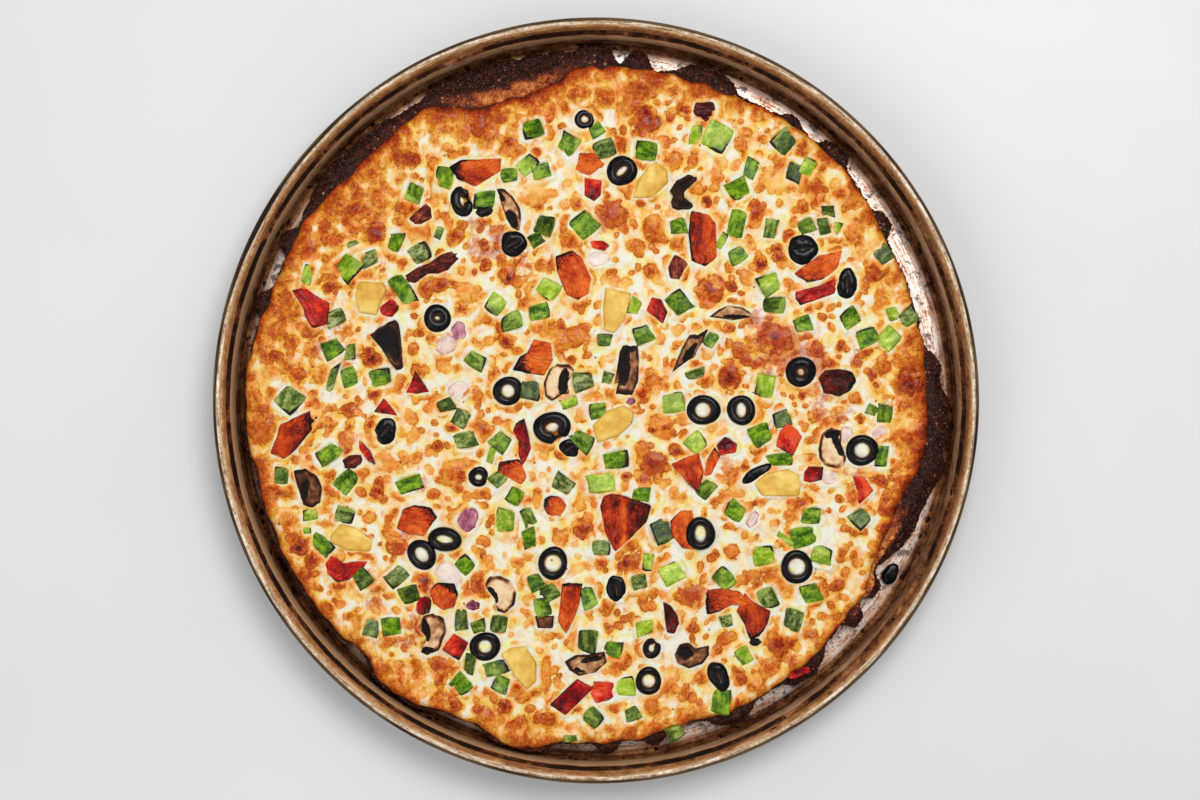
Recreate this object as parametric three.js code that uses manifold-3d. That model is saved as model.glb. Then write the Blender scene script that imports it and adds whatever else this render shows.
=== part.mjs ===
// A deep dish pizza in the round steel pan that it was baked in.
// Millimetres, +Z up, +X to the right and +Y away. The origin is the middle of the pan's underside.
// The pan, the dough, the cheese with its small toppings, and each large topping are separate solids.

import * as THREE from "three";
import { mergeVertices } from "three/addons/utils/BufferGeometryUtils.js";
import Module from "manifold-3d";

const wasm = await Module();
wasm.setup();

// ---- Driving dimensions ----

const gap = 0.35; // air left between two pieces that touch
const roundSteps = 88; // vertices round the edge of the dough and of the cheese

const pan = {
  rimRadius: 198,
  height: 39.4,
  sheet: 1,
  baseRadius: 189, // inside, where the wall starts
  wallRadius: 190.2, // inside, under the shoulder
  cornerRadius: 3,
  shoulderHeight: 29.8,
  shoulderStep: 2,
  beadRadius: 2.6,
  segments: 48,
};

const dough = {
  bottom: pan.sheet + gap,
  top: 16.8,
  lip: 3.4, // how far bare dough stands above its own top, beside the cheese
  reachLimit: 188.3, // burnt cheese stops just short of the pan's wall
  footRadius: 184,
  toeInset: 2,
  skirtTop: 9,
  skirtFoot: 5,
};

const cheese = {
  bottom: dough.top + gap,
  level: 21.8,
  rings: 8,
  brow: 1.5, // width of the rounded shoulder at the edge
  browDrop: 0.9,
  edgeDrop: 2.5,
  unevenness: 0.5,
};

// The cheese's edge is a circle pushed to one side, and these swell or eat into it.
// at and half are degrees round from +X, out is millimetres.
const cheeseEdge = {
  radius: 178,
  shift: 4.3,
  shiftAt: 200,
  swells: [
    { at: 48, half: 14, out: 3.5 },
    { at: 106, half: 11, out: -13 },
    { at: 135, half: 12, out: -4 },
    { at: 158, half: 8, out: -2.5 },
    { at: 180, half: 9, out: 1.5 },
    { at: 227, half: 3, out: -2 },
    { at: 236, half: 6, out: 4.5 },
    { at: 257, half: 5, out: 6 },
    { at: 285, half: 6, out: -2.5 },
    { at: 318, half: 5, out: -2 },
    { at: 336, half: 11, out: -7 },
  ],
};

// Where dough and burnt cheese spread past the cheese's edge, towards the pan's wall.
const skirts = [
  { at: 4, half: 4.5, out: 9 },
  { at: 31.8, half: 2.2, out: 8 },
  { at: 46, half: 3, out: 8 },
  { at: 55, half: 2, out: 5 },
  { at: 71, half: 5.5, out: 10 },
  { at: 83, half: 2.2, out: 9 },
  { at: 90, half: 3, out: 13 },
  { at: 106, half: 13, out: 21 },
  { at: 135, half: 12, out: 11 },
  { at: 152.5, half: 2.2, out: 8 },
  { at: 163.5, half: 2.2, out: 8 },
  { at: 186, half: 3, out: 3 },
  { at: 211, half: 12, out: 2 },
  { at: 236, half: 7, out: 3 },
  { at: 257, half: 6, out: 4 },
  { at: 272, half: 2, out: 7 },
  { at: 280, half: 2, out: 7 },
  { at: 293.5, half: 4, out: 8 },
  { at: 308, half: 4, out: 8 },
  { at: 320, half: 2, out: 8 },
  { at: 326, half: 2, out: 8 },
  { at: 343, half: 12, out: 14 },
  { at: 357, half: 4, out: 10 },
];

// Slow waves in the melted cheese: wave length, direction in degrees, height and phase.
const waves = [
  { length: 140, turn: 20, height: 0.7, phase: 1.3 },
  { length: 92, turn: 104, height: 0.5, phase: 0.4 },
  { length: 71, turn: 61, height: 0.4, phase: 2.2 },
  { length: 63, turn: 148, height: 0.3, phase: 4.1 },
];

// How each kind of topping stands: rise above the cheese, and squareness of its outline,
// from 2 for an ellipse up to 8 for a square.
const kinds = {
  olive: { rise: 3.2, square: 2, color: 0x1d1a19, roughness: 0.35 },
  tomato: { rise: 3.2, square: 3, color: 0xb8401f, roughness: 0.45 },
  pepper: { rise: 3, square: 4, color: 0xa81c17, roughness: 0.4 },
  mushroom: { rise: 2.8, square: 2.2, color: 0x8a5f3f, roughness: 0.6 },
  pineapple: { rise: 3.8, square: 3.2, color: 0xdcb455, roughness: 0.5 },
};
const rootDepth = 2.4; // how far a topping's own body reaches below the cheese's surface
const edgeRound = 0.8;

// Large toppings. at is the middle, size is length and width, turn is the length's angle in degrees.
// taper narrows the far end, bend curves the length, lift raises what lies on another topping.
const toppings = [
  { name: "olive_01", at: [13.5, 120], size: [16, 16], turn: 20, hole: [5, 3] },
  { name: "olive_02", at: [-43, 82], size: [14, 14], turn: 0 },
  { name: "olive_03", at: [-83, 43], size: [14.5, 14.5], turn: 0 },
  { name: "olive_04", at: [108, 79], size: [16, 16], turn: 30 },
  { name: "olive_05", at: [-46, 5], size: [16, 15], turn: 0, hole: [7, 7] },
  { name: "olive_06", at: [-23, -14], size: [20, 17], turn: 15, hole: [9, 7] },
  { name: "olive_07", at: [56, -5], size: [18, 16], turn: 0, hole: [8, 8] },
  { name: "olive_08", at: [76, -5], size: [15, 16], turn: 0, hole: [5, 8] },
  { name: "olive_09", at: [107, 15], size: [16, 16], turn: 0, hole: [3.6, 3.6] },
  { name: "olive_10", at: [139, -26], size: [17, 16.5], turn: 0, hole: [8, 8] },
  { name: "tomato_09", at: [-94, -63], size: [23, 17], turn: -8, taper: -0.15 },
  { name: "olive_11", at: [-79, -72.5], size: [17.5, 13], turn: -8, hole: [9, 4.4], lift: 1.6 },
  { name: "olive_12", at: [-91, -80.5], size: [16.5, 14.5], turn: -55, hole: [8.5, 6.5] },
  { name: "olive_13", at: [-22.5, -85], size: [15.5, 17.5], turn: 0, hole: [9, 9] },
  { name: "tomato_13", at: [44, -68], size: [22, 13], turn: 84, bend: -0.2 },
  { name: "olive_14", at: [54.5, -69.5], size: [16, 17], turn: 0, hole: [6, 9], lift: 1.6 },
  { name: "olive_15", at: [105, -87], size: [17, 17.5], turn: 0, hole: [9, 9] },
  { name: "olive_16", at: [-58, -128.5], size: [16.5, 15], turn: 0, hole: [7, 7] },
  { name: "olive_17", at: [27.5, -146.5], size: [14, 14.5], turn: 0, hole: [7, 7] },
  { name: "olive_18", at: [64, -144], size: [17, 10.5], turn: -62 },
  { name: "tomato_01", at: [-63, 119], size: [27, 13], turn: 4, taper: 0.3 },
  { name: "tomato_02", at: [-12, 66], size: [26, 17], turn: -60, taper: 0.2 },
  { name: "tomato_03", at: [55, 85], size: [28, 14], turn: 90, taper: 0.1 },
  { name: "tomato_04", at: [116, 71], size: [26, 12], turn: 25, bend: 0.2 },
  { name: "tomato_05", at: [-158, -19], size: [24, 15], turn: 45, taper: 0.2 },
  { name: "tomato_06", at: [-31, 23], size: [19, 17], turn: 10 },
  { name: "tomato_07", at: [48, -38], size: [24, 18], turn: -75, taper: 0.75 },
  { name: "tomato_08", at: [124, 10], size: [18, 13], turn: 10 },
  { name: "tomato_10", at: [-80, -102], size: [15, 14], turn: 70 },
  { name: "tomato_11", at: [15.5, -63], size: [31, 27], turn: -104, taper: 0.6 },
  { name: "tomato_12", at: [-13.5, -108], size: [27, 13.5], turn: -98, taper: 0.45 },
  { name: "tomato_14", at: [66, -104], size: [21, 11], turn: -12, bend: -0.3 },
  { name: "tomato_15", at: [82.5, -114], size: [25, 16], turn: -72, taper: 0.35 },
  { name: "pepper_1", at: [-148, 48], size: [24, 12], turn: -45, bend: 0.3 },
  { name: "pepper_2", at: [100, -21], size: [16, 12], turn: 88, taper: 0.2 },
  { name: "pepper_3", at: [-131, -87.5], size: [23, 11], turn: 4, bend: 0.9 },
  { name: "pepper_4", at: [-13, -154], size: [24, 14], turn: 34 },
  { name: "pepper_5", at: [-73.5, -128.5], size: [12.5, 12], turn: 42 },
  { name: "pepper_6", at: [139, -46], size: [16, 11], turn: -75, taper: 0.3 },
  { name: "mushroom_01", at: [45, 108], size: [18, 12], turn: 90, bend: -0.5 },
  { name: "mushroom_02", at: [-109, 28], size: [27, 13], turn: -70, taper: 0.5 },
  { name: "mushroom_03", at: [-20, 9.5], size: [21, 14], turn: 90, bend: -0.3 },
  { name: "mushroom_04", at: [17, 16], size: [28, 10.5], turn: 90, bend: 0.3 },
  { name: "mushroom_05", at: [48, 26], size: [24, 10], turn: 60, bend: 0.4 },
  { name: "mushroom_06", at: [123, -25], size: [22, 14], turn: 90, bend: -0.4 },
  { name: "mushroom_07", at: [-149.5, -46], size: [20, 13], turn: 100, bend: -0.5 },
  { name: "mushroom_08", at: [-50, -101.5], size: [22, 16], turn: 115, bend: -0.5 },
  { name: "mushroom_09", at: [-86, -120.5], size: [24, 13], turn: 84, bend: -0.4 },
  { name: "mushroom_10", at: [-5, -138], size: [24, 12.5], turn: 12, bend: -0.3 },
  { name: "mushroom_11", at: [50.5, -133], size: [18.5, 13], turn: 6, bend: 0.3 },
  { name: "pineapple_1", at: [29, 116], size: [22, 16.5], turn: 88 },
  { name: "pineapple_2", at: [-117, 55], size: [18, 14], turn: 86, taper: 0.2 },
  { name: "pineapple_3", at: [10, 47], size: [26, 15], turn: -88, taper: 0.5 },
  { name: "pineapple_4", at: [10, -12], size: [24, 16], turn: 35, taper: 0.15 },
  { name: "pineapple_5", at: [-128, -72], size: [24, 15], turn: -8, taper: 0.2 },
  { name: "pineapple_6", at: [95, -44], size: [27, 14], turn: 2 },
  { name: "pineapple_7", at: [-40, -139], size: [24, 18], turn: 80, taper: -0.2 },
];

// Smaller toppings that are one with the cheese: middle x and y, length, width and turn.
const scraps = [
  [-6, 147, 11, 10, 0], [-70, 104, 16, 10, 85], [131, 61, 17, 11, 85], [-110, -16, 15, 12, 80],
  [-61.5, -40, 11, 11, 0], [85, -39, 20, 6, 25], [10.5, -98, 14, 11, 90],
  [29, -129.5, 11, 10, 90], [-46, 101, 24, 9, -60], [71, 46, 24, 8, 0],
  [-4, 124, 13, 11, 0], [-2, 111, 12, 9, 90], [32, 48, 13, 11, 90],
  [115, 58, 24, 9, 18], [-94, 9, 12, 11, 0], [-110, -4, 11, 10, 0], [-39, -21, 23, 7, 90],
  [-44, -37, 13, 12, -20], [39, -113, 17, 12, -60], [113, -38, 12, 12, 0], [-22, -55, 12, 11, -25],
  [3, -152, 12, 11, 0], [59, -33, 14, 6, 85], [68, -24, 12, 11, 0],
  [57, 151.5, 12, 10, 0], [-91, 97, 13, 11, 30], [-86, 70, 32, 8, 22], [43, 70, 14, 10, 85],
  [-72, 36, 12, 8, 85], [1, 74, 12, 8, 10], [-67, -62, 15, 11, 60], [-77, -91, 16, 13, -40],
  [122, -40, 12, 8, 0],
];

// Diced green pepper, also one with the cheese: middle x and y, length, width and turn.
const dice = [
  [-79, 116, 12, 10, 80], [-95.5, 109, 11, 10, 70], [-36, 123, 10, 9, 40],
  [-28.5, 120, 10, 10, 20], [-33, 142, 12, 11, 10], [-14, 134, 12, 11, 60],
  [4, 131, 12, 11, 15], [25.5, 130.5, 13, 11, -10], [63, 138, 16, 14, 60],
  [98, 136, 13, 12, 40], [104, 120, 12, 9, 80], [81, 122, 11, 7, 70],
  [74, 110, 12, 11, 30], [-130, 70, 13, 13, 40],
  [-105, 83, 11, 8, 70], [-93, 77, 10, 10, 30], [-58, 105, 12, 10, 10], [-102, 58, 18, 10, -55],
  [-52, 50, 11, 10, 60], [-43, 41, 11, 10, 15], [-27, 91, 12, 11, 70],
  [-6, 92, 13, 13, 35], [-25, 57, 12, 12, 50], [-30, 46, 12, 9, 10],
  [24, 34, 11, 11, 20], [43, 91, 10, 9, 10], [73, 91, 16, 9, 75],
  [74, 76, 10, 9, 30], [92, 90, 11, 8, 80],
  [90, 61, 13, 12, 25], [92.5, 50, 11, 10, 0], [43, 51, 12, 12, 45],
  [133, 43, 11, 10, 30], [150, 76, 10, 9, 45], [163, 44, 10, 10, 40],
  [-138, 27, 11, 10, 30], [-129, 12, 10, 10, 20],
  [-113, 12, 12, 10, 10], [-160, 0, 14, 13, 45], [-140, -28.5, 13, 11, 40],
  [-63, 21, 13, 9, -35], [-70, -9, 10, 9, 60], [-68, -21, 12, 10, 10],
  [-50, -22, 12, 10, 50], [-34, 6, 12, 10, 80], [-7, 10, 13, 11, 10],
  [1, -5, 12, 8, 10], [-8, -21, 12, 10, -40], [10, -31, 14, 11, 15],
  [41, -1, 14, 10, 10], [88, 8, 14, 11, 80],
  [86, -18, 13, 11, 30], [97, -31, 17, 7, 5], [52, -22, 11, 10, 40], [141, 33, 11, 10, 20],
  [153, 33, 11, 11, 45], [151, -6, 11, 8, 85], [149, -29, 12, 8, 80], [-131, -43, 11, 10, 50],
  [-131.5, -60, 11, 10, -10], [-142.5, -76, 12, 9, -38],
  [-121, -93.5, 11, 11, 40], [-98, -43.5, 14, 9, 18], [-42, -51, 10, 9, 60],
  [-47, -63, 14, 10, 88], [-36, -61, 11, 7, -70], [-35, -72, 12, 8, -85], [-68.5, -86, 10, 9, 48],
  [-97, -101, 11, 9, 20], [-104, -92, 13, 9, 40], [-17, -44, 12, 9, -35], [3, -43, 16, 12, 8],
  [24, -49, 10, 8, -8], [3, -77, 11, 9, -5], [34, -68, 13, 12, 20],
  [22, -95, 10, 9, 8], [39, -90.5, 13, 12, 25], [-24.5, -101, 11, 9, 25],
  [-28, -108.5, 10, 9, 10], [-4, -103, 11, 9, -75], [58, -46.5, 12, 8, 48], [72, -58, 12, 10, -30],
  [112.5, -60, 11, 9, 5], [109, -71, 13, 11, 10], [88, -81, 14, 11, 5], [118, -81.5, 12, 11, -15],
  [112, -101, 12, 10, 15], [66, -93, 11, 11, 40], [90, -104, 12, 11, -70], [103, -115, 13, 10, 75],
  [138, -61, 10, 10, 38], [-117, -118, 11, 9, 70], [-107, -118, 11, 10, 5], [-70.5, -114.5, 12, 8, 88],
  [-51, -117.5, 11, 9, 86], [-53.5, -140, 13, 8, 15],
  [-70, -148, 10, 10, 45], [-50, -148, 10, 9, -30], [-4, -126, 13, 11, 80], [9, -130.5, 11, 10, -10],
  [15.5, -149.5, 12, 9, 10], [-2, -166, 12, 10, -50],
  [66, -157, 12, 11, 85],
];
const scrapRise = 2.2;
const diceRise = 2;
const diceShoulder = 0.85; // the top of a die against its foot

// ---- Solids and geometry ----

function solidFrom(geometry) {
  const bare = geometry.clone();
  bare.deleteAttribute("normal");
  bare.deleteAttribute("uv");
  const merged = mergeVertices(bare, 1e-4);
  const corners = merged.index.array;
  const kept = [];
  for (let i = 0; i < corners.length; i += 3) {
    const [a, b, c] = corners.subarray(i, i + 3);
    if (a !== b && b !== c && c !== a) kept.push(a, b, c);
  }
  return new wasm.Manifold(
    new wasm.Mesh({
      numProp: 3,
      vertProperties: merged.attributes.position.array,
      triVerts: new Uint32Array(kept),
    }),
  );
}

function geometryFrom(solid) {
  const mesh = solid.getMesh();
  const positions = new Float32Array(mesh.numVert * 3);
  for (let i = 0; i < mesh.numVert; i++) {
    for (let axis = 0; axis < 3; axis++) {
      positions[3 * i + axis] = mesh.vertProperties[mesh.numProp * i + axis];
    }
  }
  const geometry = new THREE.BufferGeometry();
  geometry.setAttribute("position", new THREE.BufferAttribute(positions, 3));
  geometry.setIndex(new THREE.BufferAttribute(mesh.triVerts.slice(), 1));
  geometry.computeVertexNormals();
  return geometry;
}

// A cut can leave a crumb beside the piece: the piece is the largest body.
function largestBody(solid) {
  const bodies = solid.decompose();
  return bodies.reduce((best, body) => (body.volume() > best.volume() ? body : best), bodies[0]);
}

// Joins two closed rings of points with triangles, whatever their counts. A ring of one point is a pole.
function stitch(faces, inner, outer) {
  let i = 0;
  let j = 0;
  const corner = (ring, k) => ring.first + (k % ring.count);
  while (j < outer.count || (i < inner.count && inner.count > 1)) {
    const takeInner = inner.count > 1 && (i + 1) / inner.count < (j + 1) / outer.count;
    if (takeInner || j >= outer.count) {
      faces.push(corner(inner, i), corner(outer, j), corner(inner, i + 1));
      i += 1;
    } else {
      faces.push(corner(inner, i), corner(outer, j), corner(outer, j + 1));
      j += 1;
    }
  }
}

// A closed body from rings of [x, y, z] points, from a pole on top, out and down, to a pole beneath.
function ringedGeometry(rings) {
  const positions = [];
  const faces = [];
  const spans = [];
  for (const ring of rings) {
    spans.push({ first: positions.length / 3, count: ring.length });
    for (const point of ring) positions.push(...point);
  }
  for (let k = 1; k < spans.length; k++) {
    const closing = spans[k].count < spans[k - 1].count;
    const pair = closing ? [spans[k], spans[k - 1]] : [spans[k - 1], spans[k]];
    const found = [];
    stitch(found, ...pair);
    if (closing) {
      for (let i = 0; i < found.length; i += 3) faces.push(found[i], found[i + 2], found[i + 1]);
    } else {
      faces.push(...found);
    }
  }
  const geometry = new THREE.BufferGeometry();
  geometry.setAttribute("position", new THREE.Float32BufferAttribute(positions, 3));
  geometry.setIndex(faces);
  return geometry;
}

const radians = THREE.MathUtils.degToRad;

// Points of an arc in the profile plane, from one angle to another in degrees.
function arcPoints(x, z, radius, from, to, steps) {
  const points = [];
  for (let i = 0; i <= steps; i++) {
    const angle = radians(from + ((to - from) * i) / steps);
    points.push(new THREE.Vector2(x + radius * Math.cos(angle), z + radius * Math.sin(angle)));
  }
  return points;
}

// A repeatable stream of numbers from 0 to 1.
function seededStream(seed) {
  let state = seed;
  return () => {
    state = (state * 1664525 + 1013904223) % 4294967296;
    return state / 4294967296;
  };
}

// ---- The food's edge and surface ----

// The sum of the swells at an angle in degrees, each flat on top and soft at its ends.
function swellAt(angle, swells) {
  let sum = 0;
  for (const { at, half, out } of swells) {
    const away = Math.abs(((angle - at + 540) % 360) - 180) / half;
    sum += out * Math.exp(-(away ** 4));
  }
  return sum;
}

function cheeseRadius(angle) {
  const { radius, shift, shiftAt, swells } = cheeseEdge;
  return radius + shift * Math.cos(radians(angle - shiftAt)) + swellAt(angle, swells);
}

function skirtRadius(angle) {
  const reach = cheeseRadius(angle) + 2 * gap + 0.3 + swellAt(angle, skirts);
  return Math.min(reach, dough.reachLimit);
}

function surfaceHeight(x, y) {
  let height = cheese.level;
  for (const wave of waves) {
    const along = x * Math.cos(radians(wave.turn)) + y * Math.sin(radians(wave.turn));
    height += wave.height * Math.sin((2 * Math.PI * along) / wave.length + wave.phase);
  }
  return height;
}

// A ring of points round the axis: radius and height are functions of the angle in degrees.
function ring(count, radius, height) {
  const points = [];
  for (let i = 0; i < count; i++) {
    const angle = (360 * i) / count;
    const x = radius(angle) * Math.cos(radians(angle));
    const y = radius(angle) * Math.sin(radians(angle));
    points.push([x, y, height(x, y, angle)]);
  }
  return points;
}

// ---- The pan: floor, wall, stacking shoulder, collar and rolled rim ----

function panGeometry() {
  const { sheet, baseRadius, wallRadius, cornerRadius, shoulderHeight, shoulderStep, beadRadius } = pan;
  const collarRadius = wallRadius + shoulderStep;
  const beadX = pan.rimRadius - beadRadius;
  const beadZ = pan.height - beadRadius;
  const innerCorner = baseRadius - cornerRadius;
  const profile = [
    new THREE.Vector2(0, 0),
    ...arcPoints(innerCorner, cornerRadius + sheet, cornerRadius + sheet, -90, -4, 3),
    new THREE.Vector2(wallRadius + sheet, shoulderHeight - sheet),
    new THREE.Vector2(collarRadius + sheet, shoulderHeight + sheet / 2),
    ...arcPoints(beadX, beadZ, beadRadius, -90, 180, 6),
    new THREE.Vector2(collarRadius, shoulderHeight + 1.6 * sheet),
    new THREE.Vector2(wallRadius, shoulderHeight),
    ...arcPoints(innerCorner, cornerRadius + sheet, cornerRadius, -4, -90, 2),
    new THREE.Vector2(0, sheet),
  ];
  // A lathe turns about Y, and the pan stands on Z.
  return new THREE.LatheGeometry(profile, pan.segments).rotateX(Math.PI / 2);
}

// ---- The dough, with the skirt of burnt cheese that ran down its side ----

function doughGeometry() {
  const exposure = (angle) => Math.min(1, Math.max(0, swellAt(angle, skirts) - 6) / 6);
  const shoulderAt = (angle) => cheeseRadius(angle) + 2 * gap;
  const skirtAt = (share) => (angle) =>
    shoulderAt(angle) + share * (skirtRadius(angle) - shoulderAt(angle));
  const lipTop = (share) => (x, y, angle) => dough.top + share * (0.2 + exposure(angle)) * dough.lip;
  const level = (z) => () => z;
  const footAt = (angle) => Math.min(skirtRadius(angle), dough.footRadius) - dough.toeInset;
  return ringedGeometry([
    [[0, 0, dough.top]],
    ring(roundSteps, cheeseRadius, level(dough.top)),
    ring(roundSteps, skirtAt(0.05), lipTop(0.8)),
    ring(roundSteps, skirtAt(0.45), lipTop(1)),
    ring(roundSteps, skirtAt(0.85), (x, y, angle) => dough.skirtTop + 4 * exposure(angle)),
    ring(roundSteps, skirtRadius, level(dough.skirtFoot)),
    ring(roundSteps, footAt, level(dough.bottom)),
    [[0, 0, dough.bottom]],
  ]);
}

// ---- The cheese without its toppings ----

function cheeseCoreGeometry(raise) {
  const random = seededStream(9);
  const craggy = (x, y) => surfaceHeight(x, y) + cheese.unevenness * (random() - 0.5) + raise;
  const inset = (share, step) => (angle) => share * (cheeseRadius(angle) - step);
  const rings = [[[0, 0, surfaceHeight(0, 0) + raise]]];
  for (let k = 1; k <= cheese.rings; k++) {
    rings.push(ring((roundSteps / cheese.rings) * k, inset(k / cheese.rings, cheese.brow * 2), craggy));
  }
  const brow = (x, y) => surfaceHeight(x, y) - cheese.browDrop + raise;
  const edge = (x, y) => surfaceHeight(x, y) - cheese.edgeDrop + raise;
  const foot = () => cheese.bottom;
  rings.push(ring(roundSteps, inset(1, cheese.brow / 2), brow));
  rings.push(ring(roundSteps, inset(1, 0), edge));
  rings.push(ring(roundSteps, inset(1, cheese.brow), foot));
  rings.push([[0, 0, cheese.bottom]]);
  return ringedGeometry(rings);
}

// ---- Toppings ----

// The outline of a cut piece about its own middle: a squared ellipse, tapered, bent and a little uneven.
function pieceOutline({ at, size, taper = 0, bend = 0, square = 2 }, steps, grow) {
  const phase = 0.7 * at[0] + 1.3 * at[1];
  const points = [];
  for (let i = 0; i < steps; i++) {
    const angle = (2 * Math.PI * i) / steps;
    const cos = Math.cos(angle);
    const sin = Math.sin(angle);
    const reach = (Math.abs(cos) ** square + Math.abs(sin) ** square) ** (-1 / square);
    const uneven = 1 + 0.05 * Math.sin(3 * angle + phase) + 0.03 * Math.sin(5 * angle + 2 * phase);
    const along = reach * uneven * cos;
    const across = reach * uneven * sin * (1 - taper * along) + bend * (along * along - 0.5);
    points.push(new THREE.Vector2(along * (size[0] / 2 + grow), across * (size[1] / 2 + grow)));
  }
  return points;
}

// A ring sliced from an olive: a squared tube, stretched to the slice's length and width.
function oliveRing({ size, hole }, low, high, grow) {
  const inner = hole[0] / size[0];
  const round = 0.12;
  const profile = [
    new THREE.Vector2(inner, low),
    new THREE.Vector2(1, low),
    new THREE.Vector2(1 - round, high),
    new THREE.Vector2(inner + round, high),
    new THREE.Vector2(inner, low),
  ];
  const slice = new THREE.LatheGeometry(profile, 10).rotateX(Math.PI / 2);
  return slice.scale(size[0] / 2 + grow, size[1] / 2 + grow, 1);
}

function slab(piece, low, high, grow, steps, round) {
  const shape = new THREE.Shape(pieceOutline(piece, steps, grow - round));
  const options = {
    depth: high - low - 2 * round,
    bevelEnabled: round > 0,
    bevelThickness: round,
    bevelSize: round,
    bevelSegments: 1,
    steps: 1,
  };
  return new THREE.ExtrudeGeometry(shape, options).translate(0, 0, low + round);
}

// A large topping in place. grow makes it that much bigger all round, to cut room for it.
function toppingSolid(piece, grow = 0) {
  const kind = kinds[piece.name.split("_")[0]];
  const high = kind.rise + (piece.lift ?? 0) + grow;
  const low = -rootDepth - grow;
  const shaped = { square: kind.square, ...piece };
  const geometry =
    piece.hole && grow === 0
      ? oliveRing(piece, low, high, grow)
      : slab(shaped, low, high, grow, 8, grow === 0 ? edgeRound : 0);
  const [x, y] = piece.at;
  geometry.rotateZ(radians(piece.turn)).translate(x, y, surfaceHeight(x, y));
  return solidFrom(geometry);
}

// A small topping in place, with a foot deep enough to be one with the cheese.
function scrapSolid([x, y, length, width, turn]) {
  const piece = { at: [x, y], size: [length, width], square: 2.4 };
  const geometry = slab(piece, -1, scrapRise, 0, 6, 0);
  geometry.rotateZ(radians(turn)).translate(x, y, surfaceHeight(x, y));
  return solidFrom(geometry);
}

function dieSolid([x, y, length, width, turn]) {
  const depth = diceRise + 1;
  const geometry = new THREE.BoxGeometry(length, width, depth);
  const corners = geometry.attributes.position;
  for (let i = 0; i < corners.count; i++) {
    if (corners.getZ(i) > 0) {
      corners.setX(i, corners.getX(i) * diceShoulder);
      corners.setY(i, corners.getY(i) * diceShoulder);
    }
  }
  const lean = 0.12 * Math.sin(x + 2 * y);
  geometry.rotateX(lean).rotateZ(radians(turn));
  return solidFrom(geometry.translate(x, y, surfaceHeight(x, y) + diceRise - depth / 2));
}

function boxesMeet(a, b) {
  const [p, q] = [a.boundingBox(), b.boundingBox()];
  return [0, 1, 2].every((axis) => p.min[axis] < q.max[axis] && q.min[axis] < p.max[axis]);
}

function cutBy(solid, cutters) {
  return cutters.reduce((left, cutter) => (boxesMeet(left, cutter) ? left.subtract(cutter) : left), solid);
}

// Each large topping lies on the cheese, and on the toppings named before it.
function placeToppings() {
  const bed = solidFrom(cheeseCoreGeometry(gap));
  const placed = [];
  const room = [];
  for (const piece of toppings) {
    const body = largestBody(cutBy(toppingSolid(piece), [bed, ...room]));
    placed.push({ piece, body });
    room.push(toppingSolid(piece, gap));
  }
  return { placed, room };
}

function cheeseSolid(room) {
  const core = solidFrom(cheeseCoreGeometry(0));
  const small = [...scraps.map(scrapSolid), ...dice.map(dieSolid)]
    .map((solid) => cutBy(solid, room))
    .filter((solid) => solid.numTri() > 0)
    .map(largestBody);
  return largestBody(wasm.Manifold.union([core, ...small]));
}

// ---- The scene graph ----

function addPiece(group, name, geometry, color, roughness, metalness = 0) {
  const material = new THREE.MeshStandardMaterial({ color, roughness, metalness, flatShading: true });
  const mesh = new THREE.Mesh(geometry, material);
  mesh.name = name;
  group.add(mesh);
  return mesh;
}

const pizza = new THREE.Group();
const food = new THREE.Group();
const { placed, room } = placeToppings();

addPiece(pizza, "pan", geometryFrom(solidFrom(panGeometry())), 0x4a3426, 0.4, 0.8);
addPiece(food, "crust", geometryFrom(solidFrom(doughGeometry())), 0x6b3317, 0.85);
addPiece(food, "cheese", geometryFrom(cheeseSolid(room)), 0xe9c98c, 0.5);
for (const { piece, body } of placed) {
  const { color, roughness } = kinds[piece.name.split("_")[0]];
  const [x, y] = piece.at;
  const z = surfaceHeight(x, y);
  const mesh = addPiece(food, piece.name, geometryFrom(body).translate(-x, -y, -z), color, roughness);
  mesh.position.set(x, y, z);
}
pizza.add(food);

export default pizza;
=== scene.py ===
# A deep dish pizza in its round steel pan, seen from straight above in soft light.
# Sizes are millimetres until a mesh is made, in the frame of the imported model.
import math

import bpy
import numpy as np
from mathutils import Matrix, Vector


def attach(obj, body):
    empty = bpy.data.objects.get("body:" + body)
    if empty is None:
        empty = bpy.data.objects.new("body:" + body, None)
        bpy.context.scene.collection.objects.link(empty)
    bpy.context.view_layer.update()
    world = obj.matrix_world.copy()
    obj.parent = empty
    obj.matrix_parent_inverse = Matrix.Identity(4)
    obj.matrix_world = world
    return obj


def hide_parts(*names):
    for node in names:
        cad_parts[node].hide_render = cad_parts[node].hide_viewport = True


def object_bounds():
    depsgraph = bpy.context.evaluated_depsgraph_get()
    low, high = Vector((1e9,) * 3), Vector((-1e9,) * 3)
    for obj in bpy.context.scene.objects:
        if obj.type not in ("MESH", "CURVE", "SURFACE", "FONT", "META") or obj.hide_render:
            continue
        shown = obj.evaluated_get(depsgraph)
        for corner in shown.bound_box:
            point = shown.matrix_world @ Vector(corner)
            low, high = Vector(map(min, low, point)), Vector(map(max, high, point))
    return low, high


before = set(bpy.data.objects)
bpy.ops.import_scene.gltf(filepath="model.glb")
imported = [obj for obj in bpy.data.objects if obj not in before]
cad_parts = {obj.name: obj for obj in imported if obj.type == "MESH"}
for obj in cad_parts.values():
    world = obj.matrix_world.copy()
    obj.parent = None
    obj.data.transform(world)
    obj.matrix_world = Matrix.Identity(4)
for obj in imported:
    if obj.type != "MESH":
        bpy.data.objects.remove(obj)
cadLow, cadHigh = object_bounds()
mm = 0.001
print("frame loaded:", len(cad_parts), "nodes")


# camera, light and floor

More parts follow.
